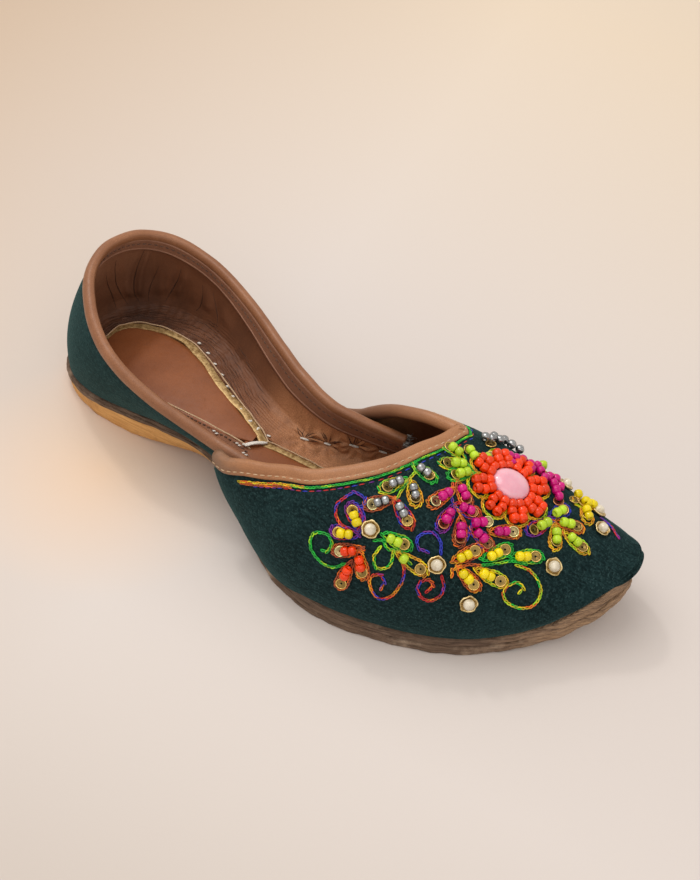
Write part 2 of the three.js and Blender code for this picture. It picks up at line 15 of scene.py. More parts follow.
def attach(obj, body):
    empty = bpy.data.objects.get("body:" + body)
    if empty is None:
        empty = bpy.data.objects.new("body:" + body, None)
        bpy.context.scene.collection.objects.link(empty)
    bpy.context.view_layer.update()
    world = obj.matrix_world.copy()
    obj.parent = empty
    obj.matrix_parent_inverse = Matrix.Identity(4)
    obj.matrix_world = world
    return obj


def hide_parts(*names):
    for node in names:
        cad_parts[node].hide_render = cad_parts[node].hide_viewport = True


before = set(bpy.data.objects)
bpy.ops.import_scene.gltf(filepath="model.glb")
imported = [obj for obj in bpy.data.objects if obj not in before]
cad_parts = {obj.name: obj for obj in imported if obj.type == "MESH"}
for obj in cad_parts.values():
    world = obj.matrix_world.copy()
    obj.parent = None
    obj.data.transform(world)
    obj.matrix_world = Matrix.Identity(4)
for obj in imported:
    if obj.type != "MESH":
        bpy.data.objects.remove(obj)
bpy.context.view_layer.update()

MM = 0.001
# Where the frame's origin stands in the pattern
MIDDLE_X = 121.66
MIDDLE_Y = -15.28
# Air between pieces, the upper's wall, the velvet in it and where its lining starts, the insole's top above
# the sole, and x of the toe's tip
GAP = 0.35
WALL = 2.0
VELVET = 1.15
LINING_DEPTH = 1.2
INSOLE_TOP = 2.55
TOE_X = 242.0
WHITE = (1, 1, 1)


def clamp(value, low=0.0, high=1.0):
    return min(max(value, low), high)


def drift(x, y, z):
    """Smooth noise at a place."""
    return noise.noise(Vector((x, y, z)))


def crowded(start, end, steps):
    """Numbers from start to end, crowded at both ends."""
    return [start + (end - start) * (1 - cos(pi * i / steps)) / 2 for i in range(steps + 1)]


# ---------------------------------------------------------------- pattern tables
# The sole's outline in plan, from the heel's back along the lateral side
OUTLINE = [
    (0, 0), (2.5, -13), (11, -23), (24, -28.5), (42, -30), (60, -29.5), (78, -29.5), (93, -34),
    (108, -45), (121, -54), (135, -60.3), (153, -63), (171, -60.2), (187, -55.4), (200, -49.2), (212, -40.4),
    (223, -30.6), (232, -20.5), (238.8, -10.8), (242, -0.5), (239.5, 8.5), (231.5, 15), (217, 20),
    (200, 23.5), (180, 24), (160, 21.5), (140, 15.5), (122, 9), (104, 4.5), (88, 5.5), (72, 12),
    (56, 20.5), (40, 27), (24, 28), (11, 22.5), (2.5, 12.5),
]

# x, underside of the outsole, thickness of the outsole, thickness of the rand
SOLE = [
    (0, 5, 1.5, 1.4), (12, 6, 1.5, 1.4), (24, 7.6, 1.5, 1.4), (36, 9.2, 1.5, 1.4), (48, 10.6, 1.5, 1.4),
    (60, 11.4, 1.6, 1.4), (72, 11.4, 1.7, 1.4), (84, 10.3, 2, 1.6), (98, 7.3, 2.6, 2), (112, 3.6, 3.4, 2.5),
    (124, 0.9, 4, 2.8), (132, 0, 4.2, 2.9), (204, 0, 4.2, 2.9), (214, 0.5, 4.4, 3.1), (223, 1.8, 4.7, 4.2),
    (231, 4.4, 5.2, 6.4), (237.5, 9, 5.4, 8), (242, 12.6, 5, 7.6),
]
# x and underside of the heel lift
LIFT = [(0, 0), (44, 0), (52, 1.2), (60, 3.2), (72, 6.3), (81, 8.3), (89, 8.6)]
LIFT_END = 89.0

# x, y, z and sideways tilt of the line where the two sides of the vamp meet
SPINE = [
    (90, -5.5, 41.5, -0.45), (114, -4, 43, -0.45), (130, -2, 45, -0.45), (145, 0.5, 48.4, -0.4),
    (156, 1.5, 50.6, -0.33), (168, 2, 51, -0.28), (180, 2.5, 48.8, -0.23), (192, 3, 45.2, -0.18),
    (205, 3.5, 40.6, -0.12), (216, 4.3, 36.4, -0.08), (226, 4.6, 32.8, -0.03), (232, 4.4, 30.6, 0),
]

# x, ledge outside the foot, flare of the belly, height of the belly, share of belly to spine left by the
# throat, and how far the cloth hangs down over the rand
LATERAL = [
    (99, -0.7, 9, 22.5, 0.02, 3), (106, -0.7, 8, 20.5, 0.12, 4.2), (115, -0.6, 5.2, 15.6, 0.29, 4.6),
    (126, -0.4, 3, 9.6, 0.42, 3.8), (136, 0, 2.4, 7, 0.48, 2.6), (145, 0.7, 1.7, 6, 0.55, 0.8),
    (153, 1.2, 1.2, 6, 0.63, 0), (157.5, 1.3, 1.1, 6, 0.7, 0), (163, 1.4, 1.1, 6, 0.82, 0),
    (167, 1.4, 1.1, 6, 0.92, 0), (169, 1.4, 1.1, 6, 1, 0), (205, 1.4, 1.3, 6, 1, 0), (225, 1.4, 1.6, 5, 1, 0),
    (231, 2.8, 3.2, 3.6, 1, 0), (237, 4.4, 5, 3.4, 1, 0), (242, 5.6, 6.2, 3.6, 1, 0),
]
MEDIAL = [
    (112, 1, 2.2, 10, 0.14, 0), (119, 1, 1.8, 8.8, 0.19, 0), (126, 1.1, 1.5, 8.6, 0.3, 0),
    (131, 1.2, 1.3, 8.4, 0.46, 0), (137, 1.3, 1.2, 8, 0.62, 0), (147, 1.4, 1.1, 7, 0.83, 0),
    (156, 1.5, 1.1, 7, 0.89, 0), (163, 1.5, 1.1, 7, 0.905, 0), (167, 1.5, 1.1, 7, 0.93, 0),
    (169, 1.5, 1.1, 7, 1, 0), (205, 1.5, 1.4, 6, 1, 0), (225, 1.6, 2.2, 5, 1, 0), (234, 3, 4.6, 3.6, 1, 0),
    (242, 5.6, 6.2, 3.6, 1, 0),
]
THROAT_APEX = 169.0
# Rear end of each wing of the vamp: x of its tip, x where its foot leaves the sole, how tall the tip is
WINGS = {"lateral": (102.5, 114, 6), "medial": (112, 128, 6)}

# Quarter, from its lateral front end round the heel to its medial front end: foot x, y, bulge, rim x, y, z,
# and how far the lining runs in over the insole
QUARTER = [
    (146, -58.4, 0.6, 144, -45, 29, 9), (132, -54.6, 0.6, 131, -44.6, 31, 9),
    (118, -47.2, 0.7, 118, -43.2, 32, 9), (105, -39.2, 1, 105, -40.8, 32.4, 9),
    (92, -32.2, 1.8, 92, -39.6, 33, 16.5), (78, -28.7, 2.4, 79, -39.3, 35.3, 15.2),
    (60, -28.7, 2.4, 62, -39, 39.3, 13.8), (42, -29.2, 2.4, 46.3, -36.7, 43.8, 12),
    (25, -27.7, 2.8, 33.8, -31.5, 48, 12), (11.8, -22.2, 3.2, 23.5, -23.3, 52, 14),
    (3.5, -12.6, 3.4, 14.8, -12.2, 55, 15.5), (1, 0, 3.4, 10.8, 0.5, 56, 17),
    (3.5, 12.1, 3.2, 11.3, 12.5, 54.5, 18), (11.8, 21.6, 2.8, 15.4, 22.5, 52, 18),
    (24.2, 27, 2.4, 23.6, 28.8, 49.5, 17.5), (39.7, 26.1, 2.2, 36.8, 31, 46.5, 16),
    (55.6, 19.6, 2.2, 52.3, 28.2, 44, 14), (71.7, 11.1, 2, 69.3, 21.3, 42, 14.5),
    (87.6, 4.6, 1.6, 86.5, 11.9, 40.3, 17), (103.5, 2.2, 0.9, 102.8, 3.6, 39, 17),
    (118, 3.6, 0.6, 118, -1, 37.4, 17), (132, 8.2, 0.5, 132, 0.2, 35.2, 19),
    (146, 13, 0.5, 147, 3.6, 32.2, 21),
]

# x, lateral edge and medial edge of the heel sock
SOCK = [
    (15, -4.5, 2.5), (17, -9.5, 6.3), (22, -13.5, 9.4), (31, -17, 10.8), (42, -20.6, 9.4), (55, -22.3, 4.6),
    (68, -23.2, -2.4), (82, -22.6, -9.4), (94, -18.5, -14.6),
]


# ---------------------------------------------------------------- reading the tables
def walked(rows):
    """Distance walked from row to row, in plan."""
    knots = [0.0]
    for before, row in zip(rows, rows[1:]):
        knots.append(knots[-1] + hypot(row[0] - before[0], row[1] - before[1]))
    return knots


def tangent(rows, knots, index, column, steady):
    """Slope of one column at a row. Steady slopes never overshoot the rows."""
    last = len(rows) - 1
    if index == 0:
        return (rows[1][column] - rows[0][column]) / (knots[1] - knots[0])
    if index == last:
        return (rows[last][column] - rows[last - 1][column]) / (knots[last] - knots[last - 1])
    before = knots[index] - knots[index - 1]
    after = knots[index + 1] - knots[index]
    slope_in = (rows[index][column] - rows[index - 1][column]) / before
    slope_out = (rows[index + 1][column] - rows[index][column]) / after
    if not steady:
        return (slope_in * after + slope_out * before) / (before + after)
    if slope_in * slope_out <= 0:
        return 0.0
    return 2 * slope_in * slope_out / (slope_in + slope_out)


def read(rows, knots, at, steady=False):
    """Smooth curve through the rows, read at one knot value, for every column."""
    at = clamp(at, knots[0], knots[-1])
    index = 0
    while index < len(rows) - 2 and at > knots[index + 1]:
        index += 1
    span = knots[index + 1] - knots[index]
    s = (at - knots[index]) / span
    weights = (
        (1 + 2 * s) * (1 - s) ** 2, s * s * (3 - 2 * s), s * (1 - s) ** 2 * span, s * s * (1 - s) * span,
    )
    result = []
    for column in range(len(rows[0])):
        leave = tangent(rows, knots, index, column, steady)
        arrive = tangent(rows, knots, index + 1, column, steady)
        result.append(
            rows[index][column] * weights[0] + rows[index + 1][column] * weights[1]
            + leave * weights[2] - arrive * weights[3]
        )
    return result


def read_x(rows, x):
    return read(rows, [row[0] for row in rows], x, steady=True)


def under(x):
    return read_x(SOLE, x)[1]


def outsole_top(x):
    row = read_x(SOLE, x)
    return row[1] + row[2]


def sole_top(x):
    row = read_x(SOLE, x)
    return row[1] + row[2] + GAP + row[3]


def insole_top(x):
    return sole_top(x) + INSOLE_TOP


def narrowed(past, low, high, steps):
    """Bounds round the number where past(number) turns true, halved a number of times."""
    for _ in range(steps):
        middle = (low + high) / 2
        if past(middle):
            high = middle
        else:
            low = middle
    return low, high


# The outline closed on itself, with a few rows of overlap at both ends
OVERLAP = 3
LOOP = OUTLINE[-OVERLAP:] + OUTLINE + OUTLINE[:OVERLAP + 1]
LOOP_KNOTS = walked(LOOP)
LOOP_START = LOOP_KNOTS[OVERLAP]
LOOP_LENGTH = LOOP_KNOTS[OVERLAP + len(OUTLINE)] - LOOP_START
TOE_SHARE = (LOOP_KNOTS[OVERLAP + OUTLINE.index(max(OUTLINE))] - LOOP_START) / LOOP_LENGTH
# Step along a curve from which its direction is read
NEAR = 0.05


def outline(share, inset=0.0):
    """Point (x, y) of the sole's outline moved in by inset, and the direction out of it."""
    at = LOOP_START + (share % 1.0) * LOOP_LENGTH
    here = read(LOOP, LOOP_KNOTS, at)
    ahead = read(LOOP, LOOP_KNOTS, at + NEAR)
    run = hypot(ahead[0] - here[0], ahead[1] - here[1])
    out_x = (ahead[1] - here[1]) / run
    out_y = -(ahead[0] - here[0]) / run
    return here[0] - out_x * inset, here[1] - out_y * inset, out_x, out_y


def share_at(x, side, inset=0.0):
    """Share of the outline where it crosses x on one side."""
    lateral = side == "lateral"
    bounds = (0.0, TOE_SHARE) if lateral else (TOE_SHARE, 1.0)
    return sum(narrowed(lambda share: lateral == (outline(share, inset)[0] > x), *bounds, 30)) / 2


def edge_at(x, side, inset=0.0):
    return outline(share_at(x, side, inset), inset)[1]


class VampColumn:
    """One column of the vamp's outside. up: 0 at the foot, 1 at the belly, 2 at the spine."""

    def __init__(self, share):
        edge_x, edge_y, out_x, out_y = outline(share)
        self.side = "lateral" if share < TOE_SHARE else "medial"
        _, ledge, flare, belly, throat, drop = read_x(LATERAL if share < TOE_SHARE else MEDIAL, edge_x)
        self.foot = Vector((edge_x - out_x * ledge, edge_y - out_y * ledge, sole_top(edge_x) + GAP - drop))
        self.belly = self.foot + Vector((out_x * flare, out_y * flare, belly + drop))
        end = SPINE[-1][0]
        self.spine = read_x(SPINE, min(edge_x, end))
        self.slope = 0.0
        if edge_x > end:
            self.slope = self.spine[2] - read_x(SPINE, self.spine[0] - 1)[2]
        tip, foot_x, end_rise = WINGS[self.side]
        self.high = 1 + min(throat, 1)
        self.low = 0.0
        back = clamp((foot_x - edge_x) / (foot_x - tip))
        if back > 0:
            target = self.foot.z + (self.at(self.high).z - self.foot.z - end_rise) * back
            self.low = narrowed(lambda up: self.at(up).z >= target, 0.0, self.high, 26)[0]

    def at(self, up):
        foot, belly, spine = self.foot, self.belly, self.spine
        if up <= 1:
            out = sin(up * pi / 2)
            return Vector((
                foot.x + (belly.x - foot.x) * out, foot.y + (belly.y - foot.y) * out,
                foot.z + (belly.z - foot.z) * up,
            ))
        turn = (up - 1) * pi / 2
        x = spine[0] + (belly.x - spine[0]) * cos(turn)
        y = spine[1] + (belly.y - spine[1]) * cos(turn)
        tilt = self.slope * (x - spine[0]) + spine[3] * (y - spine[1])
        return Vector((x, y, belly.z + (spine[2] - belly.z + tilt) * sin(turn)))


QUARTER_KNOTS = walked(QUARTER)
QUARTER_LENGTH = QUARTER_KNOTS[-1]


class QuarterColumn:
    """One column of the quarter's outside. up: 0 at the foot, 1 at the rim."""

    def __init__(self, at):
        self.share = at / QUARTER_LENGTH
        self.row = read(QUARTER, QUARTER_KNOTS, at)
        ahead = read(QUARTER, QUARTER_KNOTS, at + NEAR)
        before = read(QUARTER, QUARTER_KNOTS, at - NEAR)
        run = hypot(ahead[0] - before[0], ahead[1] - before[1])
        self.out = Vector((-(ahead[1] - before[1]) / run, (ahead[0] - before[0]) / run, 0))
        self.foot_z = sole_top(self.row[0]) + GAP

    def at(self, up, inward=0.0):
        x, y, bulge, rim_x, rim_y, rim_z, _ = self.row
        out = bulge * 4 * up * (1 - up) - inward
        return Vector((
            x + (rim_x - x) * up + self.out.x * out, y + (rim_y - y) * up + self.out.y * out,
            self.foot_z + (rim_z - self.foot_z) * up,
        ))

    def held_in(self, point):
        """The point, or the nearest place inward of it that is clear of the wall at its height."""
        up = clamp((point.z - self.foot_z) / (self.row[5] - self.foot_z))
        over = (point - self.at(up, WALL)).dot(self.out)
        return point - self.out * max(over, 0)


# ---------------------------------------------------------------- mesh building
def placed(points):
    """Places in the frame, in metres, of points in pattern millimetres."""
    points = np.array([tuple(p) for p in points], float).reshape(-1, 3)
    return (points - np.array([MIDDLE_X, MIDDLE_Y, 0.0])) * MM


def piece(name, body, material, replaces=(), tint=None):
    """A mesh object in the frame, from (points, faces) in the pattern. tint is a colour for each point."""
    mesh = bpy.data.meshes.new(name)
    mesh.from_pydata(placed(body[0]).tolist(), [], body[1])
    mesh.materials.append(material)
    mesh.shade_smooth()
    if tint is not None:
        colours = mesh.color_attributes.new("tint", "FLOAT_COLOR", "POINT")
        rows = np.ones((len(mesh.vertices), 4), np.float32)
        rows[:, :3] = tint
        colours.data.foreach_set("color", rows.ravel())
    obj = bpy.data.objects.new(name, mesh)
    bpy.context.scene.collection.objects.link(obj)
    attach(obj, "root")
    if replaces:
        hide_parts(*replaces)


def ring_faces(count, sides, start=0, capped=True):
    """Faces between count rings of points, each of so many sides, and over both ends."""
    faces = []
    for a in range(start, start + (count - 1) * sides, sides):
        b = a + sides
        faces += [[a + j, a + (j + 1) % sides, b + (j + 1) % sides, b + j] for j in range(sides)]
    if capped:
        faces.append([start + j for j in reversed(range(sides))])
        faces.append([start + (count - 1) * sides + j for j in range(sides)])
    return faces


class Surface:
    """Open surface through columns of points, with welded vertices and outward normals."""

    def __init__(self, columns, flat_foot=False):
        self.points = []
        known = {}
        self.grid = []
        for column in columns:
            row = []
            for point in column:
                key = (round(point[0], 3), round(point[1], 3), round(point[2], 3))
                if key not in known:
                    known[key] = len(self.points)
                    self.points.append(Vector(point))
                row.append(known[key])
            self.grid.append(row)
        self.faces = []
        for left, right in zip(self.grid, self.grid[1:]):
            for j in range(len(left) - 1):
                corners = list(dict.fromkeys((left[j], right[j], right[j + 1], left[j + 1])))
                if len(corners) > 2:
                    self.faces.append(corners)
        self.normals = [Vector() for _ in self.points]
        for face in self.faces:
            a, b, c = (self.points[face[k]] for k in (0, 1, 2))
            normal = (b - a).cross(c - a)
            if len(face) == 4:
                normal = normal + (c - a).cross(self.points[face[3]] - a)
            for corner in face:
                self.normals[corner] += normal
        for normal in self.normals:
            normal.normalize()
        if flat_foot:
            for row in self.grid:
                self.normals[row[0]].z = 0
                self.normals[row[0]].normalize()

    def moved(self, relief):
        """Move points along their normals: relief has an amount for each vertex."""
        for index, amount in relief.items():
            self.points[index] = self.points[index] + self.normals[index] * amount

    def shell(self, near, far):
        """Closed wall between the surface moved in by near and moved in by far."""
        count = len(self.points)
        points = [p - n * depth for depth in (near, far) for p, n in zip(self.points, self.normals)]
        faces = [list(face) for face in self.faces]
        edges = {}
        for face in self.faces:
            faces.append([corner + count for corner in reversed(face)])
            edges.update(dict.fromkeys(zip(face, face[1:] + face[:1])))
        for start, end in edges:
            if (end, start) not in edges:
                faces.append([end, start, start + count, end + count])
        return points, faces


def outward(points, faces):
    """The body, with its faces turned over if they enclose it inside out."""
    volume = 0.0
    for face in faces:
        for k in range(1, len(face) - 1):
            a, b, c = points[face[0]], points[face[k]], points[face[k + 1]]
            volume += a.dot(b.cross(c))
    return points, (faces if volume > 0 else [face[::-1] for face in faces])


def between(before, start, end, after, steps):
    """Points from start, and short of end, on the smooth curve through four corners."""
    for s in range(steps):
        t = s / steps
        yield 0.5 * (
            2 * start + (end - before) * t + (2 * before - 5 * start + 4 * end - after) * t * t
            + (3 * start - before - 3 * end + after) * t ** 3
        )


def sweep(places, corners):
    """Body swept through places, each (middle, out, up), with a smooth section through (out, up) corners."""
    corners = [Vector(corner) for corner in corners]
    section = []
    for i in range(len(corners)):
        section += between(*(corners[(i + k) % len(corners)] for k in (-1, 0, 1, 2)), 3)
    points = [middle + out * a + up * b for middle, out, up in places for a, b in section]
    return outward(points, ring_faces(len(places), len(section)))


class Stamps:
    """Many copies of small bodies, joined in one mesh."""

    def __init__(self):
        self.points = []
        self.faces = []
        self.tints = []

    def add(self, body, matrix, tint=WHITE):
        start = len(self.points)
        self.points += [matrix @ point for point in body[0]]
        self.faces += [[corner + start for corner in face] for face in body[1]]
        self.tints += [tint] * len(body[0])

    def tube(self, path, radius, sides):
        """Round tube along a path of points. radius is one for all of them, or one for each."""
        start = len(self.points)
        last = len(path) - 1
        normal = None
        for i, point in enumerate(path):
            along = (path[min(i + 1, last)] - path[max(i - 1, 0)]).normalized()
            if normal is None:
                normal = along.orthogonal().normalized()
            normal = (normal - along * normal.dot(along)).normalized()
            side = along.cross(normal)
            size = radius if isinstance(radius, float) else radius[i]
            for j in range(sides):
                turn = 2 * pi * j / sides
                self.points.append(point + (normal * cos(turn) + side * sin(turn)) * size)
        self.tints += [WHITE] * (len(path) * sides)
        self.faces += ring_faces(len(path), sides, start)

    def build(self, name, material, tinted=False):
        piece(name, (self.points, self.faces), material, tint=self.tints if tinted else None)


def lathe(profile, steps):
    """Body turned about z from a profile of (radius, height), which starts and ends on the axis."""
    points = []
    rings = []
    for radius, height in profile:
        if radius < 1e-6:
            rings.append([len(points)])
            points.append(Vector((0, 0, height)))
            continue
        rings.append([len(points) + k for k in range(steps)])
        for k in range(steps):
            turn = 2 * pi * k / steps
            points.append(Vector((radius * cos(turn), radius * sin(turn), height)))
    faces = []
    for low, high in zip(rings, rings[1:]):
        for k in range(steps):
            corners = (
                low[k % len(low)], low[(k + 1) % len(low)], high[(k + 1) % len(high)], high[k % len(high)],
            )
            face = list(dict.fromkeys(corners))
            if len(face) > 2:
                faces.append(face)
    return points, faces


def torus(ring, thick, ring_steps, thick_steps, squash=1.0):
    """Bead-like ring about z."""
    points = []
    faces = []
    for i in range(ring_steps):
        turn = 2 * pi * i / ring_steps
        for j in range(thick_steps):
            roll = 2 * pi * j / thick_steps
            radius = ring + thick * cos(roll)
            points.append(Vector((
                radius * cos(turn), radius * sin(turn), thick * squash * sin(roll),
            )))
            a, b = i * thick_steps, ((i + 1) % ring_steps) * thick_steps
            faces.append([a + j, b + j, b + (j + 1) % thick_steps, a + (j + 1) % thick_steps])
    return points, faces


def facing(origin, along, up):
    """Matrix with x along, z up and its origin at origin, in pattern millimetres."""
    up = up.normalized()
    along = (along - up * along.dot(up)).normalized()
    side = up.cross(along)
    return Matrix((
        (along.x, side.x, up.x, origin.x), (along.y, side.y, up.y, origin.y),
        (along.z, side.z, up.z, origin.z), (0, 0, 0, 1),
    ))


# ---------------------------------------------------------------- materials
class Finish:
    """A node material, built from a few kinds of node."""

    def __init__(self, name, roughness=0.6, **sockets):
        self.material = bpy.data.materials.new(name)
        self.material.use_nodes = True
        self.tree = self.material.node_tree
        self.shader = self.tree.nodes["Principled BSDF"]
        self.shader.inputs["Roughness"].default_value = roughness
        for socket, value in sockets.items():
            self.shader.inputs[socket.replace("_", " ")].default_value = value
        self.coordinates = self.tree.nodes.new("ShaderNodeTexCoord").outputs["Object"]

    def node(self, kind, output, inputs, **settings):
        """One output of a new node, with sockets linked and values set as inputs says."""
        node = self.tree.nodes.new(kind)
        for name, value in settings.items():
            setattr(node, name, value)
        for key, value in inputs.items():
            if isinstance(value, bpy.types.NodeSocket):
                self.tree.links.new(value, node.inputs[key])
            else:
                node.inputs[key].default_value = value
        return node.outputs[output]

    def streaks(self, scale, detail, roughness, turn=0.0):
        """Noise with its own scale along x, y and z, turned about z."""
        vector = self.node(
            "ShaderNodeMapping", "Vector",
            {"Vector": self.coordinates, "Scale": scale, "Rotation": (0, 0, turn)},
        )
        return self.noise(1.0, detail, roughness, vector)

    def noise(self, scale, detail, roughness, vector=None):
        return self.node(
            "ShaderNodeTexNoise", "Fac",
            {"Vector": vector or self.coordinates, "Scale": scale, "Detail": detail, "Roughness": roughness},
        )

    def cells(self, scale):
        """Distance to the nearest edge of small cells."""
        return self.node(
            "ShaderNodeTexVoronoi", "Distance", {"Vector": self.coordinates, "Scale": scale},
            feature="DISTANCE_TO_EDGE",
        )

    def distance(self, spot):
        """Distance in metres from a spot of the pattern."""
        return self.node(
            "ShaderNodeVectorMath", "Value", {0: self.coordinates, 1: tuple(placed([spot])[0])},
            operation="DISTANCE",
        )

    def grey(self, factor, low, high, dark=0.0, light=1.0):
        """Grey that goes from dark to light while factor goes from low to high."""
        node = self.tree.nodes.new("ShaderNodeValToRGB")
        self.tree.links.new(factor, node.inputs["Fac"])
        for element, position, value in zip(node.color_ramp.elements, (low, high), (dark, light)):
            element.position = position
            element.color = (value, value, value, 1)
        return node.outputs["Color"]

    def mix(self, factor, a, b):
        """Colour that goes from a to b with factor. Each is a socket or (red, green, blue)."""
        a, b = (value if isinstance(value, bpy.types.NodeSocket) else (*value, 1) for value in (a, b))
        return self.node("ShaderNodeMix", 2, {0: factor, 6: a, 7: b}, data_type="RGBA")

    def math(self, operation, a, b):
        return self.node("ShaderNodeMath", 0, {0: a, 1: b}, operation=operation)

    def colour(self, value):
        self.tree.links.new(value, self.shader.inputs["Base Color"])

    def rough(self, factor, low, high):
        """Roughness from low to high where the noise factor is low to high."""
        value = self.node(
            "ShaderNodeMapRange", "Result",
            {"Value": factor, "From Min": 0.3, "From Max": 0.7, "To Min": low, "To Max": high},
        )
        self.tree.links.new(value, self.shader.inputs["Roughness"])

    def bump(self, *layers):
        """Bump from (height, strength, depth in millimetres), the coarsest first. Gives the material."""
        normal = None
        for height, strength, depth in layers:
            inputs = {"Height": height, "Strength": strength, "Distance": depth * MM}
            if normal is not None:
                inputs["Normal"] = normal
            normal = self.node("ShaderNodeBump", "Normal", inputs)
        self.tree.links.new(normal, self.shader.inputs["Normal"])
        return self.material


def velvet_finish():
    """Dark teal pile: large patches, and two crossing sets of fine tufts."""
    f = Finish(
        "velvet", 0.95, Sheen_Weight=0.16, Sheen_Roughness=0.45, Sheen_Tint=(0.2, 0.5, 0.48, 1),
        Specular_IOR_Level=0.12,
    )
    patches = f.noise(75.0, 3.0, 0.6)
    pile = f.streaks((1500, 800, 1500), 3.0, 0.7, 0.5)
    tufts = f.streaks((520, 1300, 900), 2.0, 0.6, -0.3)
    base = f.mix(f.grey(patches, 0.35, 0.65), (0.003, 0.0115, 0.0125), (0.006, 0.02, 0.0215))
    base = f.mix(f.grey(tufts, 0.48, 0.72), base, (0.014, 0.036, 0.038))
    base = f.mix(f.grey(tufts, 0.28, 0.46, 0.7, 0.0), base, (0.001, 0.005, 0.006))
    f.colour(f.mix(f.grey(pile, 0.54, 0.72), base, (0.032, 0.066, 0.067)))
    return f.bump((patches, 0.25, 0.5), (tufts, 0.5, 0.35), (pile, 0.7, 0.22))


def leather_finish(name, dark, light, roughness=0.5, grain=1500.0, grain_depth=0.09, spots=()):
    """Leather with pores. Each spot is its middle, the distances it fades between, colour and strength."""
    f = Finish(name, roughness, Specular_IOR_Level=0.4)
    patches = f.noise(55.0, 4.0, 0.6)
    fine = f.noise(420.0, 3.0, 0.6)
    pores = f.cells(grain)
    base = f.mix(f.grey(patches, 0.32, 0.68), dark, light)
    shade = tuple(value * 0.62 for value in dark)
    base = f.mix(f.grey(fine, 0.62, 0.8, 0.0, 0.35), base, shade)
    for middle, near, far, tone, strength in spots:
        spread = f.math("ADD", f.distance(middle), f.math("MULTIPLY", fine, 0.012))
        base = f.mix(f.grey(spread, near, far, strength, 0.0), base, tone)
    f.colour(f.mix(f.grey(pores, 0.0, 0.16, 0.45, 0.0), base, shade))
    f.rough(fine, roughness - 0.08, roughness + 0.12)
    return f.bump((patches, 0.2, 0.6), (fine, 0.3, 0.2), (pores, 0.4, grain_depth))


# Painted light and painted shade on the lining: middle, the two distances each fades between, colour
LINING_LIGHT_AND_SHADE = [
    # Painted light low on the medial side near the throat; painted shade where the flap meets the medial wall
    ((118, 3, 22), 0.012, 0.036, (0.6, 0.28, 0.13)), ((66, 14, 22), 0.008, 0.03, (0.12, 0.046, 0.022)),
    # Painted light high on the heel's back wall; painted shade low in the heel, on its medial side
    ((7, -8, 44), 0.01, 0.042, (0.46, 0.22, 0.12)), ((24, 10, 15), 0.006, 0.038, (0.04, 0.016, 0.01)),
]
LINING_SHADE = (0.13, 0.05, 0.024)
SOLE_TIP = (236, -10, 10)
TOE_EDGE = (0.4, 0.25, 0.145)


def lining_finish():
    """Lining leather: dull, streaked up and down, with patches of painted light and painted shade, the
    painted shade darkest low down round the heel.
    """
    f = Finish("lining_leather", 0.56, Specular_IOR_Level=0.3)
    patches = f.noise(55.0, 4.0, 0.6)
    fine = f.noise(420.0, 3.0, 0.6)
    streaks = f.streaks((150, 150, 18), 4.0, 0.65)
    pores = f.cells(1400.0)
    base = f.mix(f.grey(patches, 0.32, 0.68), (0.175, 0.065, 0.029), (0.25, 0.098, 0.045))
    uneven = f.grey(streaks, 0.3, 0.6, 0.45, 1.0)
    # Patches of painted light and painted shade, broken up by the streaks
    for middle, near, far, tone in LINING_LIGHT_AND_SHADE:
        inside = f.grey(f.distance(middle), near, far, 1.0, 0.0)
        base = f.mix(f.math("MULTIPLY", inside, uneven), base, tone)
    base = f.mix(f.grey(streaks, 0.56, 0.78, 0.0, 0.35), base, (0.12, 0.05, 0.026))
    base = f.mix(f.grey(fine, 0.62, 0.8, 0.0, 0.35), base, LINING_SHADE)
    f.colour(f.mix(f.grey(pores, 0.0, 0.16, 0.4, 0.0), base, LINING_SHADE))
    f.rough(fine, 0.5, 0.66)
    return f.bump((patches, 0.2, 0.6), (fine, 0.3, 0.2), (pores, 0.4, 0.08))


def edge_finish(name, dark, light, worn, layers=2400.0, toe=0.0):
    """Cut edge of stacked leather: streaks along it, with worn pale patches, and paler by toe at the toe."""
    f = Finish(name, 0.75, Specular_IOR_Level=0.25)
    streaks = f.streaks((110, 110, layers), 4.0, 0.7)
    patches = f.noise(90.0, 5.0, 0.65)
    grit = f.noise(1500.0, 3.0, 0.6)
    base = f.mix(f.grey(streaks, 0.35, 0.66), dark, light)
    base = f.mix(f.grey(patches, 0.55, 0.72, 0.0, 0.75), base, worn)
    tip = f.grey(f.distance(SOLE_TIP), 0.012, 0.045, toe, 0.0)
    worn_tip = f.math("MULTIPLY", tip, f.grey(streaks, 0.38, 0.6, 0.15, 1.0))
    base = f.mix(worn_tip, base, TOE_EDGE)
    f.colour(f.mix(f.grey(grit, 0.55, 0.8, 0.0, 0.5), base, tuple(v * 0.5 for v in dark)))
    return f.bump((patches, 0.3, 0.5), (streaks, 0.7, 0.28), (grit, 0.4, 0.12))


def flecked_finish(name, roughness, noise, dark, light, bump, top=0.65, rough=None, **sockets):
    """Two colours mixed by one noise, given as (scale, detail, roughness); bump is (strength, depth)."""
    f = Finish(name, roughness, **sockets)
    flecks = f.noise(*noise)
    f.colour(f.mix(f.grey(flecks, 0.35, top), dark, light))
    if rough:
        f.rough(flecks, *rough)
    return f.bump((flecks, *bump))


def thread_finish(name, dark, light):
    return flecked_finish(
        name, 0.7, (2600.0, 2.0, 0.6), dark, light, (0.6, 0.12), Sheen_Weight=0.2, Specular_IOR_Level=0.3,
    )


def tinted_finish(name, roughness, shade, **sockets):
    """A finish that takes its colour from the mesh's tint, with darker flecks."""
    f = Finish(name, roughness, **sockets)
    tint = f.node("ShaderNodeVertexColor", "Color", {}, layer_name="tint")
    flecks = f.noise(1900.0, 2.0, 0.6)
    f.colour(f.mix(f.grey(flecks, 0.3, 0.7, shade, 0.0), tint, (0.0, 0.0, 0.0)))
    f.rough(flecks, max(roughness - 0.05, 0.02), roughness + 0.1)
    return f.bump((flecks, 0.3, 0.1))


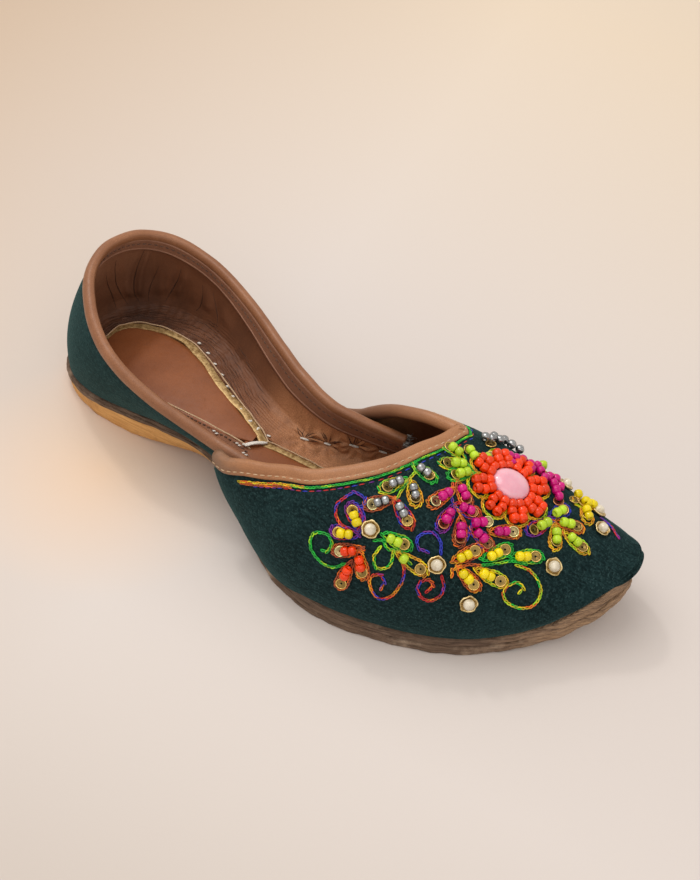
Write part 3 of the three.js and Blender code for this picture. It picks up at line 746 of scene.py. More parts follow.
velvet = velvet_finish()
binding_leather = leather_finish("binding_leather", (0.225, 0.088, 0.038), (0.33, 0.142, 0.066), 0.42)
throat_leather = leather_finish(
    "throat_leather", (0.33, 0.14, 0.058), (0.46, 0.21, 0.095), 0.44, spots=(
        # Darker and greyer near the lateral wing's tip; painted shade on the throat's medial side
        ((98, -48, 34), 0.009, 0.022, (0.13, 0.09, 0.065), 0.85),
        ((124, 9, 30), 0.02, 0.048, (0.2, 0.095, 0.055), 0.9),
    ),
)
facing_leather = leather_finish("facing_leather", (0.24, 0.105, 0.06), (0.33, 0.155, 0.09), 0.52)
lining_leather = lining_finish()
insole_leather = leather_finish("insole_leather", (0.24, 0.085, 0.033), (0.32, 0.12, 0.05), 0.5, 1900.0)
sock_leather = leather_finish("sock_leather", (0.225, 0.067, 0.02), (0.3, 0.094, 0.029), 0.46, 2200.0, 0.05)
sole_edge = edge_finish("sole_edge", (0.07, 0.04, 0.026), (0.21, 0.135, 0.09), (0.42, 0.31, 0.22), toe=1.0)
rand_edge = edge_finish("rand_edge", (0.055, 0.032, 0.022), (0.19, 0.12, 0.08), (0.33, 0.23, 0.16), toe=0.9)
lift_edge = edge_finish("lift_edge", (0.5, 0.24, 0.075), (0.72, 0.41, 0.15), (0.34, 0.15, 0.05), 1500.0)


# ---------------------------------------------------------------- sole
# How far along its spokes, from the middle line to the rim, the flat faces of a plate have points
SPOKE = (0.0, 0.35, 0.7)


def plate(name, inset, low, high, profile, material, replaces, ripple=0.0, seed=0.0):
    """Flat layer of the sole between low(x) and high(x), with an edge that follows (share up, outset)."""
    stations = crowded(0.0, TOE_X, 150)[1:-1]
    shares = [share_at(x, "lateral") for x in stations] + [TOE_SHARE]
    shares += [share_at(x, "medial") for x in stations[::-1]] + [0.0]
    columns = []
    for share in shares:
        edge = outline(share)
        rim = outline(share, inset + 0.5)
        centre_x = clamp(edge[0], 8.0, TOE_X - 12.0)
        centre_y = (edge_at(centre_x, "lateral") + edge_at(centre_x, "medial")) / 2

        def spoke(level, parts):
            along = [(centre_x + (rim[0] - centre_x) * part, part) for part in parts]
            return [(x, centre_y + (rim[1] - centre_y) * part, level(x)) for x, part in along]

        column = spoke(low, SPOKE)
        # The edge is rougher towards the toe
        rough = ripple * (1 + 1.4 * clamp((edge[0] - 180) / 40))
        wobble = drift(edge[0] * 0.16, edge[1] * 0.16, seed) * rough
        for up, outset in profile:
            grit = drift(edge[0] * 0.5, edge[1] * 0.5, up * 4 + seed) * ripple * 0.5
            x, y, _, _ = outline(share, inset - outset - wobble - grit)
            column.append((x, y, low(edge[0]) + (high(edge[0]) - low(edge[0])) * up))
        columns.append(column + spoke(high, SPOKE[::-1]))
    columns.append(columns[0])
    surface = Surface(columns)
    piece(name, outward(surface.points, surface.faces), material, replaces)


round_edge = [(0.0, -0.35), (0.08, -0.12), (0.25, 0.0), (0.5, 0.05), (0.75, 0.0), (0.92, -0.12), (1.0, -0.35)]
split_edge = [
    (0.0, -0.4), (0.08, -0.1), (0.24, 0.05), (0.38, 0.0), (0.46, -0.28), (0.52, -0.28), (0.6, 0.0),
    (0.76, 0.08), (0.92, -0.1), (1.0, -0.4),
]
plate(
    "outsole_leather", 0.0, under, outsole_top, split_edge, sole_edge, ["outsole"],
    ripple=0.45, seed=1.7,
)
plate(
    "rand_leather", 0.35, lambda x: outsole_top(x) + 0.08, sole_top, split_edge, rand_edge,
    ["rand"], ripple=0.35, seed=5.1,
)


# Edge of the heel lift: share up, and inset from the outline
LIFT_EDGE = [(0.0, 1.9), (0.06, 1.3), (0.2, 1.0), (0.5, 0.75), (0.8, 0.55), (0.94, 0.6), (1.0, 0.9)]
lift_points = []
lift_stations = crowded(0.7, LIFT_END, 90)
for x in lift_stations:
    low = read_x(LIFT, x)[1]
    high = under(x) - 0.1
    for side, seed, rows in (("lateral", 4.0, LIFT_EDGE[::-1]), ("medial", -4.0, LIFT_EDGE)):
        for up, inset in rows:
            wear = 0.25 * drift(x * 0.2, up * 3, seed)
            lift_points.append(Vector((x, edge_at(x, side, inset + wear), low + (high - low) * up)))
lift = outward(lift_points, ring_faces(len(lift_stations), 2 * len(LIFT_EDGE)))
piece("heel_lift_leather", lift, lift_edge, ["heel_lift"])


# ---------------------------------------------------------------- vamp
# Columns from a wing's tip to the throat's apex and from there to the toe, and rows up the wall
WING_STEPS = 60
TOE_STEPS = 62
VAMP_UP = 40
# Columns of the vamp on each side, from the wing's tip, that have a lining
VAMP_LINED = WING_STEPS + 42


def vamp_shares(side):
    """Shares of the outline at the vamp's columns on one side, from the wing's tip to the toe."""
    tip = WINGS[side][0]
    stations = [THROAT_APEX - (THROAT_APEX - tip) * (1 - i / WING_STEPS) ** 1.5 for i in range(WING_STEPS)]
    reach = TOE_X - THROAT_APEX
    stations += [THROAT_APEX + reach * sin(pi / 2 * i / TOE_STEPS) for i in range(TOE_STEPS)]
    return [share_at(x, side) for x in stations]


def vamp_surface(walls):
    """Surface through columns of the vamp, softly uneven, as cloth over a foot."""
    surface = Surface([
        [wall.at(wall.low + (wall.high - wall.low) * j / VAMP_UP) for j in range(VAMP_UP + 1)]
        for wall in walls
    ], flat_foot=True)
    relief = {}
    for row in surface.grid:
        for index in row[4:-3]:
            point = surface.points[index]
            broad = drift(point.x * 0.035, point.y * 0.05, 3.1) * 0.35
            small = drift(point.x * 0.12, point.y * 0.12, 8.4) * 0.16
            relief[index] = broad + small
    surface.moved(relief)
    return surface


shares = vamp_shares("lateral") + [TOE_SHARE] + vamp_shares("medial")[::-1]
vamp_walls = [VampColumn(share) for share in shares]
vamp = vamp_surface(vamp_walls)
vamp_tree = BVHTree.FromPolygons(vamp.points, vamp.faces)
piece("vamp_velvet", vamp.shell(0.0, VELVET), velvet, ["vamp"])
lining_points = []
lining_faces = []
for half in (vamp_walls[:VAMP_LINED], vamp_walls[-VAMP_LINED:]):
    points, faces = vamp_surface(half).shell(LINING_DEPTH, WALL)
    lining_faces += [[index + len(lining_points) for index in face] for face in faces]
    lining_points += points
piece("vamp_lining", (lining_points, lining_faces), lining_leather)


# ---------------------------------------------------------------- quarter
QUARTER_STEPS = 400
quarter_walls = [QuarterColumn(QUARTER_LENGTH * (1 - i / QUARTER_STEPS)) for i in range(QUARTER_STEPS + 1)]
quarter = Surface([[wall.at(j / 24) for j in range(25)] for wall in quarter_walls], flat_foot=True)
piece("quarter_velvet", quarter.shell(0.0, VELVET), velvet, ["quarter"])

# The white stitches' places are read at one level, along a line of sight from above the near side
LINE_OF_SIGHT = Vector((0.2933, -0.6014, 0.7431))
SEEN_LEVEL = 18.5

# White stitches that hold the lining down: x, y, length, how strongly they pucker it
HOLD_STITCHES = [
    (48.5, 12.6, 1.3, 0.3), (54.6, 10, 1.5, 0.4), (60.3, 6.5, 1.4, 0.4), (65.9, 3.1, 1.5, 0.4),
    (71.4, -1, 1.6, 0.4), (76, -4.3, 1.6, 0.4), (82, -7.8, 1.4, 0.4), (88, -10.7, 1.6, 0.4),
    (92.7, -12.4, 1.5, 0.5), (98, -13.6, 1.7, 0.6), (110.1, -7.2, 3.4, 1.3), (118.6, -4.4, 2.6, 1.3),
    (127.5, 0.5, 3.6, 1.4), (138.1, 4.1, 3, 1.3), (147.5, 8, 2.6, 1),
]
# Stitches no stronger than this only dimple the lining, without creases or a puff
FIRM = 0.4

# Folds in the heel lining: share along the quarter, width, depth, lowest and highest place on the wall
HEEL_FOLDS = [
    (0.49, 0.008, 0.35, 0.1, 0.75), (0.532, 0.006, 0.55, 0.08, 0.62), (0.552, 0.007, 0.7, 0.1, 0.7),
    (0.58, 0.005, 1.0, 0.05, 0.85), (0.6, 0.009, 0.5, 0.1, 0.55), (0.622, 0.006, 0.85, 0.12, 0.62),
    (0.656, 0.009, 0.6, 0.1, 0.5), (0.69, 0.012, 0.4, 0.1, 0.5),
]
CRINKLE_PITCH = 1.15
CRINKLE_REACH = 19.0
# The lining's rows: its flap over the insole, a fillet with this radius, and the wall
FILLET = 6.5
FLAP_ROWS = 52
FILLET_ROWS = 28
WALL_ROWS = 34
WALL_START = FLAP_ROWS + FILLET_ROWS
# Rows below and above the fillet's top that are smoothed, and how many times
SMOOTH_BELOW = 14
SMOOTH_ABOVE = 9
SMOOTH_TIMES = 40


def flap_top(wall, x):
    """Height of the flap's top at x: it lies higher where it laps over the heel sock."""
    return insole_top(x) + (1.65 - 0.75 * clamp((wall.share - 0.36) / 0.08))


def fold_lean(middle, up):
    """How far a heel fold leans along the quarter at one height on the wall."""
    return 0.012 * sin(up * 2.5 + middle * 40)


def lining_column(wall):
    """Inside of the quarter's lining from its flap's edge on the insole out to the wall and up to the rim."""
    floor = flap_top(wall, wall.row[0]) - 0.15
    start = 0.0
    while wall.at(start, WALL).z < floor + FILLET:
        start += 0.01
    above = [wall.at(start + (0.99 - start) * j / WALL_ROWS, WALL) for j in range(WALL_ROWS + 1)]
    centre = above[0] - wall.out * FILLET
    fillet = []
    for j in range(FILLET_ROWS):
        turn = pi / 2 * j / FILLET_ROWS
        fillet.append(Vector((
            centre.x + wall.out.x * FILLET * sin(turn), centre.y + wall.out.y * FILLET * sin(turn),
            centre.z - FILLET * cos(turn),
        )))
    reach = max(wall.row[6] - FILLET - WALL, 1.0)
    flap = []
    for j in range(FLAP_ROWS):
        point = fillet[0] - wall.out * reach * (1 - j / FLAP_ROWS)
        point.z = flap_top(wall, point.x)
        flap.append(point)
    for j, point in enumerate(fillet):
        point.z += (sole_top(point.x) - sole_top(wall.row[0])) * (1 - j / FILLET_ROWS)
    column = [wall.held_in(point) for point in flap + fillet + above]
    # The ledge where the fillet meets the wall is smoothed away
    for _ in range(SMOOTH_TIMES):
        for j in range(WALL_START - SMOOTH_BELOW, WALL_START + SMOOTH_ABOVE):
            column[j] = (column[j - 1] + column[j + 1]) / 2
    return [wall.held_in(point) for point in column]


def distances(path):
    """Distance along a path at each of its points."""
    walk = [0.0]
    for a, b in zip(path, path[1:]):
        walk.append(walk[-1] + (b - a).length)
    return walk


lining_columns = [lining_column(wall) for wall in quarter_walls]
lining_runs = [distances(column) for column in lining_columns]
lining = Surface(lining_columns)


def crinkles(point, across, share):
    """Fine broken lines along the flap, across being the distance from its edge."""
    warp = drift(point.x * 0.09, point.y * 0.09, 1.3) * 1.5
    warp += drift(point.x * 0.32, point.y * 0.32, 6.3) * 0.5
    wave = 1 - 2 * abs(sin(pi * (across / CRINKLE_PITCH + warp)))
    patch = 0.6 + 0.55 * drift(point.x * 0.06, point.y * 0.06, 4.4)
    fade = min(across / 1.5, 1) * min((CRINKLE_REACH - across) / 9, 1) ** 1.3
    return 0.31 * wave * patch * fade * (1.0 if share > 0.38 else 0.4)


def pucker(amount, point):
    """The relief, with the dimple, fan of creases and puff beside it that each white stitch adds."""
    for x, y, _, strength in HOLD_STITCHES:
        near_x = point.x + (SEEN_LEVEL - point.z) * LINE_OF_SIGHT.x / LINE_OF_SIGHT.z - x
        near_y = point.y + (SEEN_LEVEL - point.z) * LINE_OF_SIGHT.y / LINE_OF_SIGHT.z - y
        reach = hypot(near_x, near_y)
        if reach < 11:
            fan = sin(8 * atan2(near_y, near_x) + 3 * drift(x, y, reach * 0.25))
            amount += 0.6 * max(strength - FIRM, 0) * fan * exp(-((reach - 4.2) / 3.0) ** 2)
            amount -= 0.6 * strength * exp(-(reach / 1.7) ** 2)
            puff = exp(-((near_x - 4.4) ** 2 + (near_y - 3.6) ** 2) / 13)
            amount += 1.1 * max(strength - FIRM, 0) * puff
    return amount


def lining_relief(i, j):
    """How far folds, crinkles and puckers raise the lining, at column i and row j."""
    share = 1 - i / QUARTER_STEPS
    point = lining_columns[i][j]
    amount = 0.3 * noise.noise(point * 0.07)
    up = (j - WALL_START) / WALL_ROWS
    for middle, width, depth, low, high in HEEL_FOLDS:
        near = (share - middle - fold_lean(middle, up)) / width
        reach = clamp((up + 0.25 - low) * 5) * clamp((high - up) * 4)
        if abs(near) < 4:
            amount += depth * reach * (1.5 * exp(-(near - 1.4) ** 2) + 0.9 * exp(-(near + 1.6) ** 2))
    across = lining_runs[i][j]
    if across < CRINKLE_REACH:
        amount += crinkles(point, across, share)
    if across < 4 and share > 0.3:
        ripple = sin(share * QUARTER_LENGTH * 2 * pi / 5.2 + 2 * noise.noise(point * 0.1))
        amount += 0.28 * (1 - across / 4) * ripple
    inner = j / WALL_START
    if inner < 1.3:
        amount = pucker(amount, point)
    # It may sink 0.6 mm into the flap, but hardly into the wall, which has velvet behind it
    return max(amount, -0.6 + 0.45 * clamp((inner - 0.9) / 0.35))


relief = {}
for i, row in enumerate(lining.grid):
    for j, index in enumerate(row):
        # It dies away under the collar
        relief[index] = -lining_relief(i, j) * clamp((len(row) - 1 - j) / 6)
lining.moved(relief)
lining_tree = BVHTree.FromPolygons(lining.points, lining.faces)
piece("quarter_lining", lining.shell(-0.85, -0.05), lining_leather)


# ---------------------------------------------------------------- insole and socks
plate(
    "insole_board", 4.6, lambda x: sole_top(x) + GAP, insole_top, round_edge, insole_leather,
    ["insole"], seed=9.0,
)


def laid(name, edge, low, high, dome, replaces=()):
    """Thin domed sock laid on the insole, bounded by rows of (x, lateral y, medial y)."""
    across = 18
    points = []
    for x, lateral, medial in edge:
        bottom = []
        top = []
        for k in range(across + 1):
            share = k / across
            bow = dome * (1 - (2 * share - 1) ** 2)
            rim = 0.25 if k in (0, across) else 0.0
            bottom.append(Vector((x, lateral + (medial - lateral) * k / across, insole_top(x) + low)))
            top.append(Vector((x, lateral + (medial - lateral) * share, insole_top(x) + high + bow - rim)))
        points += bottom + top[::-1]
    count = 2 * (across + 1)
    faces = ring_faces(len(edge), count, capped=False)
    for start in (0, (len(edge) - 1) * count):
        for k in range(across):
            faces.append([start + k, start + k + 1, start + count - 2 - k, start + count - 1 - k])
    piece(name, outward(points, faces), sock_leather, replaces)


def smooth_rows(rows, steps):
    return [read_x(rows, x) for x in crowded(rows[0][0], rows[-1][0], steps)]


def side_of(before, after):
    """Level direction to the right of the way from one point of a path to another."""
    along = Vector((after[0] - before[0], after[1] - before[1], 0)).normalized()
    return Vector((along.y, -along.x, 0))


heel_rows = smooth_rows(SOCK, 110)
laid("heel_sock_leather", heel_rows, 0.95, 1.75, 0.25, ["heel_sock"])


def ribbon(name, path, low, high, width, wobble, seed):
    """Flat strip of gold leather along a path of (x, y), laid on the insole, wavy at its edges."""
    section = [(-0.5, low), (-0.5, high - 0.15), (-0.42, high), (0.42, high + 0.1), (0.5, high), (0.5, low)]
    count = len(path)
    points = []
    for i, (x, y) in enumerate(path):
        side = side_of(path[max(i - 1, 0)], path[min(i + 1, count - 1)])
        shift = wobble * drift(i * 0.045, seed, 0.4)
        wide = width * (1 + 0.28 * drift(i * 0.09, seed, 7.7))
        lift = 0.3 * drift(i * 0.07, seed, 3.3)
        for across, level in section:
            point = Vector((x, y, 0)) + side * (shift + across * wide)
            point.z = insole_top(point.x) + level + (lift if level > low else 0.0)
            points.append(point)
    piece(name, outward(points, ring_faces(count, len(section))), gold_strip)


def through(corners, steps):
    """Smooth open curve through corners, of any number of numbers each."""
    corners = [Vector(corner) for corner in corners]
    ends = [corners[0] * 2 - corners[1]] + corners + [corners[-1] * 2 - corners[-2]]
    result = []
    for i in range(len(corners) - 1):
        result += between(*ends[i:i + 4], steps)
    return result + [corners[-1]]


class Trail:
    """Path of (point, normal), read by distance along it."""

    def __init__(self, pairs):
        self.points = [point for point, _ in pairs]
        self.normals = [normal for _, normal in pairs]
        self.walk = distances(self.points)
        self.length = self.walk[-1]

    def at(self, distance):
        """Point, direction and normal at a distance along the path."""
        distance = clamp(distance, 0.0, self.length)
        index = clamp(int(np.searchsorted(self.walk, distance, "right")) - 1, 0, len(self.points) - 2)
        span = max(self.walk[index + 1] - self.walk[index], 1e-9)
        share = (distance - self.walk[index]) / span
        point = self.points[index].lerp(self.points[index + 1], share)
        along = (self.points[index + 1] - self.points[index]).normalized()
        return point, along, self.normals[index].lerp(self.normals[index + 1], share).normalized()


gold_strip = flecked_finish(
    "gold_strip", 0.38, (700.0, 4.0, 0.65), (0.27, 0.15, 0.05), (0.6, 0.42, 0.19), (0.5, 0.2),
    rough=(0.34, 0.55), Metallic=0.5, Specular_IOR_Level=0.5,
)

# The heel sock's gold edge: from its lateral side round the heel, and up the medial side to the waist
heel_edge = [(row[0], row[1] - 0.4) for row in heel_rows[::-1] if row[0] < 31]
heel_edge += [(row[0], row[2] + 1.6) for row in heel_rows] + [(97.6, -15.4)]
heel_edge = through(heel_edge[::6] + [heel_edge[-1]], 10)
ribbon("heel_gold_edge", heel_edge, 0.5, 1.6, 3.1, 1.1, 2.0)

# Front sock: x, lateral edge, medial edge
FRONT_SOCK = [
    (92, -22, -19.5), (97, -27, -17.2), (104, -33, -15.6), (114, -39, -14), (126, -44, -12.4),
    (140, -47, -9), (158, -50, -1), (180, -48, 6), (200, -38, 10), (214, -26, 9), (222, -14, 3),
]
front_rows = smooth_rows(FRONT_SOCK, 90)
laid("front_sock_leather", front_rows, 0.9, 1.6, 0.2)
front_edge = [(row[0], row[2] + 0.9) for row in front_rows if 97 < row[0] < 170]
front_edge = through(front_edge[::6], 8)
ribbon("front_gold_edge", front_edge, 0.5, 1.65, 2.7, 0.7, 5.0)


def raised_line(stamps, path, offset, high, radius):
    """Thin line beside a strip, offset to its left, for its folded edge."""
    line = []
    for before, here, after in zip(path, path[1:], path[2:]):
        left = -side_of(before, after)
        wave = drift(here[0] * 0.2, here[1] * 0.2, offset)
        place = Vector((here[0], here[1], 0)) + left * offset + left * wave * 0.35
        place.z = insole_top(place.x) + high + wave * 0.2
        line.append(place)
    stamps.tube(line, radius, 6)


strip_lines = Stamps()
raised_line(strip_lines, heel_edge, 1.75, 1.75, 0.3)
raised_line(strip_lines, front_edge, 1.5, 1.8, 0.26)


# ---------------------------------------------------------------- bindings
def rim_places(surface, rim):
    """Middle, out and up along an edge of the wall, with the wall on its left seen from outside."""
    points = [surface.points[vertex] for vertex in rim]
    last = len(rim) - 1
    places = []
    for i in range(len(rim)):
        out = Vector()
        along = Vector()
        for k in range(-3, 4):
            out += surface.normals[rim[clamp(i + k, 0, last)]]
        for k in (1, 2):
            along += points[min(i + k, last)] - points[max(i - k, 0)]
        out.normalize()
        along.normalize()
        places.append((points[i] - out * (WALL / 2), out, out.cross(along).normalized()))
    return places


def edge_wear(places, amount, seed):
    """The places, each nudged a little, so that a rolled edge isn't quite even."""
    result = []
    for middle, out, up in places:
        nudge = amount * drift(middle.x * 0.11, middle.y * 0.11, seed)
        result.append((middle + up * nudge + out * nudge * 0.4, out, up))
    return result


# Sections of the rolled bindings, round the wall's edge: out and up from its middle
COLLAR_SECTION = [
    (1.15, -2.6), (1.6, -2.5), (2.0, -1.6), (2.2, -0.3), (1.95, 1.2), (1.1, 2.1), (0, 2.4), (-1.0, 2.15),
    (-1.7, 1.2), (-1.95, 0.1), (-1.8, -0.8), (-1.3, -1.15), (-0.9, -0.4), (-0.5, 0.6), (0.6, 0.6),
    (1.05, -1.0),
]
THROAT_SECTION = [
    (1.15, -1.9), (1.65, -1.85), (1.95, -1.3), (1.85, -0.4), (2.15, 0.3), (2.4, 1.5), (2.1, 2.9), (1.2, 3.7),
    (0, 3.9), (-1.2, 3.6), (-2.1, 2.6), (-2.3, 1.2), (-2.1, -0.4), (-1.8, -1.6), (-1.3, -1.9), (-1.1, -0.6),
    (-0.6, 0.8), (0.6, 0.8), (1.05, -0.6),
]

collar_rim = [row[-1] for row in quarter.grid]
collar_places = rim_places(quarter, collar_rim)
collar = sweep(edge_wear(collar_places, 0.35, 2.2), COLLAR_SECTION)
piece("collar_roll", collar, binding_leather, ["collar_binding"])

throat_rim = [
    row[-1] for i, (row, wall) in enumerate(zip(vamp.grid, vamp_walls))
    if wall.high < 1.9999 or i == WING_STEPS
]
throat_places = rim_places(vamp, throat_rim)
throat = sweep(edge_wear(throat_places, 0.3, 6.6), THROAT_SECTION)
piece("throat_roll", throat, throat_leather, ["throat_binding"])


# Facing strip inside the collar: from under the roll down the lining, and wider at its medial front end
facing_columns = []
for i, wall in enumerate(quarter_walls):
    height = (wall.at(1.0) - wall.at(0.0)).length
    front = clamp((0.3 - i / QUARTER_STEPS) / 0.15)
    top = 1 - 0.8 / height
    low = 1 - (7.2 + 5 * front) / height
    facing_columns.append([wall.at(low + (top - low) * j / 8, WALL) for j in range(9)])
facing_strip = Surface(facing_columns)
piece("collar_facing", facing_strip.shell(0.05, 1.15), facing_leather)


# ---------------------------------------------------------------- stitches
def stitch_body(length, radius, arch):
    """One stitch of thread along x, arched over the surface and dipping in at both ends."""
    stamps = Stamps()
    path = []
    sizes = []
    for i in range(9):
        share = i / 8
        path.append(Vector(((share - 0.5) * length, 0, arch * sin(pi * share) - radius * 0.6)))
        sizes.append(radius * (0.55 + 0.45 * sin(pi * share)))
    stamps.tube(path, sizes, 6)
    return stamps.points, stamps.faces


def stitched(name, trail, pitch, length, radius, material):
    """A row of stitches along a trail."""
    body = stitch_body(length, radius, 0.2)
    chance = random.Random(name)
    stamps = Stamps()
    distance = 1.0
    while distance < trail.length - 1.0:
        point, along, normal = trail.at(distance)
        # A first draw that decides nothing keeps the later ones as they are
        chance.random()
        lean = Matrix.Rotation(chance.uniform(-0.12, 0.12), 4, "Z")
        stamps.add(body, facing(point, along, normal) @ lean)
        distance += pitch * chance.uniform(0.94, 1.06)
    stamps.build(name, material)


tan_thread = thread_finish("tan_thread", (0.42, 0.27, 0.15), (0.62, 0.43, 0.27))
strip_lines.build("strip_edges", tan_thread)
brown_thread = thread_finish("brown_thread", (0.07, 0.032, 0.018), (0.13, 0.065, 0.036))
white_thread = thread_finish("white_thread", (0.62, 0.58, 0.52), (0.85, 0.82, 0.76))

throat_stitch = Trail([(middle + out * 1.92 - up * 0.75, out) for middle, out, up in throat_places])
stitched("throat_stitches", throat_stitch, 2.9, 1.75, 0.24, tan_thread)


def facing_line(row, depth):
    """Pairs of (point, normal) along one row of the facing strip, at a depth inward of it."""
    vertices = [column[row] for column in facing_strip.grid]
    return [
        (facing_strip.points[vertex] - facing_strip.normals[vertex] * depth, -facing_strip.normals[vertex])
        for vertex in vertices
    ]


stitched("facing_stitches", Trail(facing_line(5, 1.17)), 2.3, 1.7, 0.3, brown_thread)
facing_hem = Stamps()
facing_hem.tube([point for point, _ in facing_line(1, 1.1)], 0.42, 6)
facing_hem.build("facing_hem", facing_leather)


# White stitches that hold the lining down, and the thread bridge at the waist
holds = Stamps()


def onto_lining(x, y, lift):
    """Point on the lining's inside, found along a line of sight from above the near side."""
    start = Vector((x, y, SEEN_LEVEL))
    place = lining_tree.ray_cast(start + LINE_OF_SIGHT * 30, -LINE_OF_SIGHT, 70)[0]
    if place is None:
        return Vector((x, y, insole_top(x) + 1.0 + lift))
    return place + LINE_OF_SIGHT * (0.1 + lift)


def laid_thread(start, end, radius, arch, lift):
    """White thread over the lining, between two places (x, y)."""
    steps = 10
    path = []
    for i in range(steps + 1):
        share = i / steps
        x = start[0] + (end[0] - start[0]) * share
        y = start[1] + (end[1] - start[1]) * share
        path.append(onto_lining(x, y, lift + arch * sin(pi * share)))
    sizes = [radius * (0.6 + 0.4 * sin(pi * i / steps)) for i in range(steps + 1)]
    holds.tube(path, sizes, 8)


for x, y, length, _ in HOLD_STITCHES:
    laid_thread((x - length * 0.5, y - length * 0.1), (x + length * 0.5, y + length * 0.1), 0.45, 0.3, 0.2)
for x, y in ((79.9, -23.1), (81.5, -23.6), (90.4, -23.4), (91.8, -23.8), (95, -26.1), (96.4, -26.4)):
    laid_thread((x - 0.5, y - 0.2), (x + 0.5, y + 0.3), 0.36, 0.3, 0.3)
laid_thread((92.5, -22.5), (99, -15.6), 0.7, 0.6, 1.3)
laid_thread((93.6, -22.6), (98.4, -16.8), 0.5, 0.9, 1.5)
holds.build("white_stitches", white_thread)

# Lateral edge of the lining's flap: a fine pale line, and a row of holes in its leather beside it
flap_places = [
    (lining.points[row[1]], lining.points[row[14]])
    for wall, row in zip(quarter_walls, lining.grid) if wall.share < 0.4 and 44 < wall.row[0] < 91
]
seam = Stamps()
up_a_little = Vector((0, 0, 0.12))
seam.tube([edge + up_a_little for edge, _ in flap_places], 0.34, 6)
seam.build("flap_edge_line", tan_thread)
holes = Stamps()
for edge, place in flap_places[::2]:
    holes.tube([place - Vector((0.5, 0, 0)), place + Vector((0.5, 0.1, 0))], 0.32, 6)
holes.build("flap_stitches", brown_thread)

# Painted shade in the lining's fine creases: dark lines in fans above the larger white stitches, and wavering
# dark lines beside the heel sock
crease_shade_lines = Stamps()
CREASE_SHADE_LIFT = 0.03
CREASE_SHADE_ROWS = 12
FAN_SHADE_RADIUS = 0.17
FLAP_CREASE_SHADE_RADIUS = 0.15
wander = random.Random(21)


def shade_line(path, radius):
    """A dark line of painted shade that thins out at both ends, unless it has too few points to show."""
    if len(path) > 5:
        middle = (len(path) - 1) / 2
        crease_shade_lines.tube(path, [radius * (1 - 0.75 * abs(i - middle) / middle) for i in range(len(path))], 5)


for x, y, length, strength in HOLD_STITCHES:
    if strength < 1:
        continue
    for k in range(9):
        turn = radians(wander.uniform(-6, 6) + 12 + 156 * k / 8)
        bend = wander.uniform(-0.5, 0.5)
        start, stop = 1.0, wander.uniform(3.6, 6.6) * strength / 1.3
        path = []
        for i in range(9):
            reach = start + (stop - start) * i / 8
            swing = turn + bend * i / 8
            path.append(onto_lining(x + reach * cos(swing), y + reach * sin(swing), -0.06))
        shade_line(path, FAN_SHADE_RADIUS)

# Broken dark lines of painted shade along the flap: each path ends where the line isn't shown
for k in range(CREASE_SHADE_ROWS):
    path = []
    for i, (wall, row, run) in enumerate(zip(quarter_walls, lining.grid, lining_runs)):
        steady = 1.5 + 1.2 * k + 1.5 * drift(i * 0.03, 3.3, k * 0.15)
        distance = steady + 0.5 * drift(i * 0.17, 8.8, k * 0.6)
        shown = drift(i * 0.08, k * 1.7, 5.1) > -0.1 + 0.03 * k
        if wall.share > 0.4 and wall.row[0] < 93 and shown and distance > 0.6:
            j = int(np.searchsorted(run, distance))
            share = (distance - run[j - 1]) / (run[j] - run[j - 1])
            place = lining.points[row[j - 1]].lerp(lining.points[row[j]], share)
            path.append(place + lining.normals[row[j]] * CREASE_SHADE_LIFT)
        else:
            shade_line(path, FLAP_CREASE_SHADE_RADIUS)
            path = []
    shade_line(path, FLAP_CREASE_SHADE_RADIUS)

# A dark line of painted shade down the valley of each heel fold
for middle, _, depth, low, high in HEEL_FOLDS:
    path = []
    for j in range(-16, WALL_ROWS, 2):
        up = j / WALL_ROWS
        if low - 0.5 < up < high - 0.05:
            along = (1 - middle - fold_lean(middle, up)) * QUARTER_STEPS
            left, right = (column[WALL_START + j] for column in lining.grid[int(along):int(along) + 2])
            place = lining.points[left].lerp(lining.points[right], along - int(along))
            path.append(place + lining.normals[left] * CREASE_SHADE_LIFT)
    shade_line(path, 0.12 + 0.14 * depth)
crease_shade = leather_finish("crease_shade", (0.05, 0.02, 0.011), (0.075, 0.03, 0.016), 0.6)
crease_shade_lines.build("lining_crease_shade", crease_shade)

# Raw edge of the lining that shows down the rear of each wing
wing_edges = Stamps()
for side in WINGS:
    rows = [row for wall, row in zip(vamp_walls, vamp.grid) if wall.low > 0.001 and wall.side == side]
    wing_edges.tube([vamp.points[row[0]] - vamp.normals[row[0]] * 0.9 for row in rows], 0.75, 8)
wing_edges.build("wing_edges", binding_leather)

# Frayed grey threads at the cut end of the collar inside the throat
fray = Stamps()
fuzz = random.Random(5)
end_middle, end_out, end_up = collar_places[0]
end_along = (end_middle - collar_places[4][0]).normalized()
for _ in range(46):
    root = end_middle + end_out * fuzz.uniform(-2.2, 2.2) + end_up * fuzz.uniform(-1.6, 2.0)
    lean = Vector((fuzz.uniform(-1, 1), fuzz.uniform(-1, 1), fuzz.uniform(-1, 1))) * 0.8
    reach = fuzz.uniform(0.8, 2.4)
    bend = root + (end_along + lean * 0.3) * reach * 0.5
    fray.tube([root - end_along * 0.4, bend, root + (end_along + lean) * reach], [0.09, 0.08, 0.05], 5)
grey_thread = thread_finish("grey_thread", (0.2, 0.2, 0.19), (0.42, 0.41, 0.38))
fray.build("frayed_end", grey_thread)


# ---------------------------------------------------------------- embroidery
def snapped(point):
    """Nearest point of the vamp to a point, and the normal there."""
    return vamp_tree.find_nearest(point)[:2]


def on_cloth(x, across):
    """Point and normal on the vamp: across is 0 on its spine, -1 at the lateral belly, 1 at the medial."""
    wall = VampColumn(share_at(x, "lateral" if across <= 0 else "medial"))
    return snapped(wall.at(2 - abs(across)))


def cloth_trail(corners):
    """Trail on the cloth through corners of (x, across)."""
    return Trail([snapped(point) for point in through([on_cloth(*corner)[0] for corner in corners], 10)])


